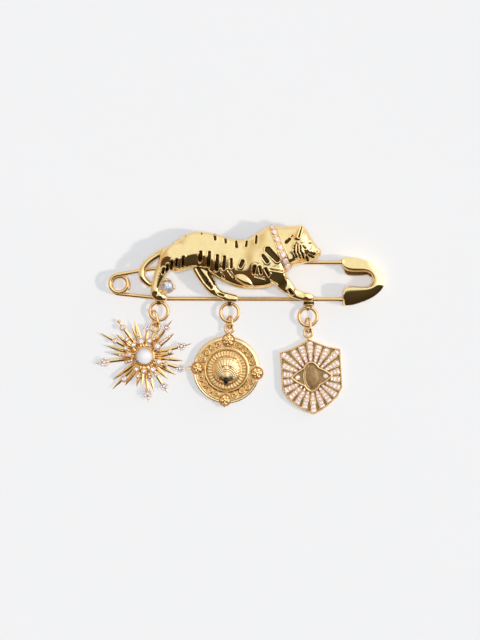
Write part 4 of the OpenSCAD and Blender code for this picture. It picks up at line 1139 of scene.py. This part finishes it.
for build in (tiger, paw_bead, crystal_mount, collar, clasp, sunburst, medallion, shield):
    build()
LINKS = [f"{kind}_{i}" for kind in ("jump_ring", "link") for i in (1, 2, 3)]
for name in ["fixed_wire", "spring_coil", "pin_arm", *LINKS]:
    paint(name, WIRE_SHADED)
paint("pearl", PEARL)
paint("medallion_nose", BLACK)

# Floor, light and camera

# Width of the floor, in metres
FLOOR = 6
bpy.ops.mesh.primitive_plane_add(size=FLOOR)
floor = bpy.context.object
floor.name = "floor"
floor.data.materials.append(material("floor_white", 0, (0.8, 0.8, 0.8), 0.6, 0.05, grain=20,
                                     tint=(0.797, 0.797, 0.797), Specular_IOR_Level=0.1))

world = bpy.data.worlds.new("studio")
scene.world = world
world.use_nodes = True
add, link = world.node_tree.nodes.new, world.node_tree.links.new
sky = world.node_tree.nodes["Background"]
parts = add("ShaderNodeSeparateXYZ")
link(add("ShaderNodeTexCoord").outputs["Generated"], parts.inputs["Vector"])


def ramp(axis, lo, hi):
    """0 to 1 as the direction's part along an axis goes from lo to hi."""
    n = add("ShaderNodeMapRange")
    n.interpolation_type = "SMOOTHSTEP"
    link(parts.outputs[axis], n.inputs["Value"])
    put(n, From_Min=lo, From_Max=hi)
    return n.outputs["Result"]


def mixed(factor, a, b):
    """Colour between a and b, each a colour or another node's output."""
    n = add("ShaderNodeMix")
    n.data_type = "RGBA"
    link(factor, n.inputs[0])
    for socket, value in ((n.inputs[6], a), (n.inputs[7], b)):
        if isinstance(value, bpy.types.NodeSocket):
            link(value, socket)
        else:
            socket.default_value = (*value, 1)
    return n.outputs[2]


# What polished metal mirrors: a pale studio, dim on the left, with a wide window on the right
# and a dark near side
pale = mixed(ramp("X", -0.8, -0.1), (0.66, 0.56, 0.45), (0.96, 1.08, 1.22))
pale = mixed(ramp("X", 0.28, 0.6), pale, (2, 2.1, 2.5))
near = mixed(ramp("X", -0.3, 0.25), (0.11, 0.065, 0.042), (0.06, 0.055, 0.038))
near = mixed(ramp("Z", 0.1, 0.7), (0.045, 0.033, 0.022), near)
studio = mixed(ramp("Y", -0.31, -0.21), near, pale)
even = mixed(ramp("Z", 0.3, 0.8), (0.2, 0.2, 0.202), (0.32, 0.32, 0.322))
path = add("ShaderNodeLightPath")
link(mixed(path.outputs["Is Diffuse Ray"], studio, even), sky.inputs["Color"])
sky.inputs["Strength"].default_value = 1


def lamp(name, energy, spread, towards, colour):
    """Far lamp that metal doesn't mirror."""
    light = bpy.data.objects.new(name, bpy.data.lights.new(name, "SUN"))
    light.data.energy = energy
    light.data.angle = radians(spread)
    light.data.color = colour
    light.rotation_euler = Vector(towards).to_track_quat("-Z", "Y").to_euler()
    light.visible_glossy = False
    scene.collection.objects.link(light)


# One lamp overhead, and one low on the right that gives the shadows
lamp("overhead", 1.87, 12, (0, 0, -1), (0.93, 0.985, 1.05))
lamp("side", 1.03, 5, (-0.77, 0.14, -0.62), (1.2, 1.04, 0.86))

# Height of the camera above the floor and of the brooch's middle, in metres
CAMERA_Z = 0.75
MIDDLE_Z = 0.003
# Width of the camera's sensor in millimetres, and of the picture in pixels
SENSOR = 36
PICTURE = 480
camera = bpy.data.objects.new("camera", bpy.data.cameras.new("camera"))
camera.location = (0, 0, CAMERA_Z)
camera.data.sensor_fit = "HORIZONTAL"
camera.data.sensor_width = SENSOR
camera.data.lens = SENSOR * (CAMERA_Z - MIDDLE_Z) / (PICTURE * PIXEL * MM)
camera.data.clip_start = 0.05
scene.collection.objects.link(camera)
scene.camera = camera
scene.view_settings.view_transform = "Standard"
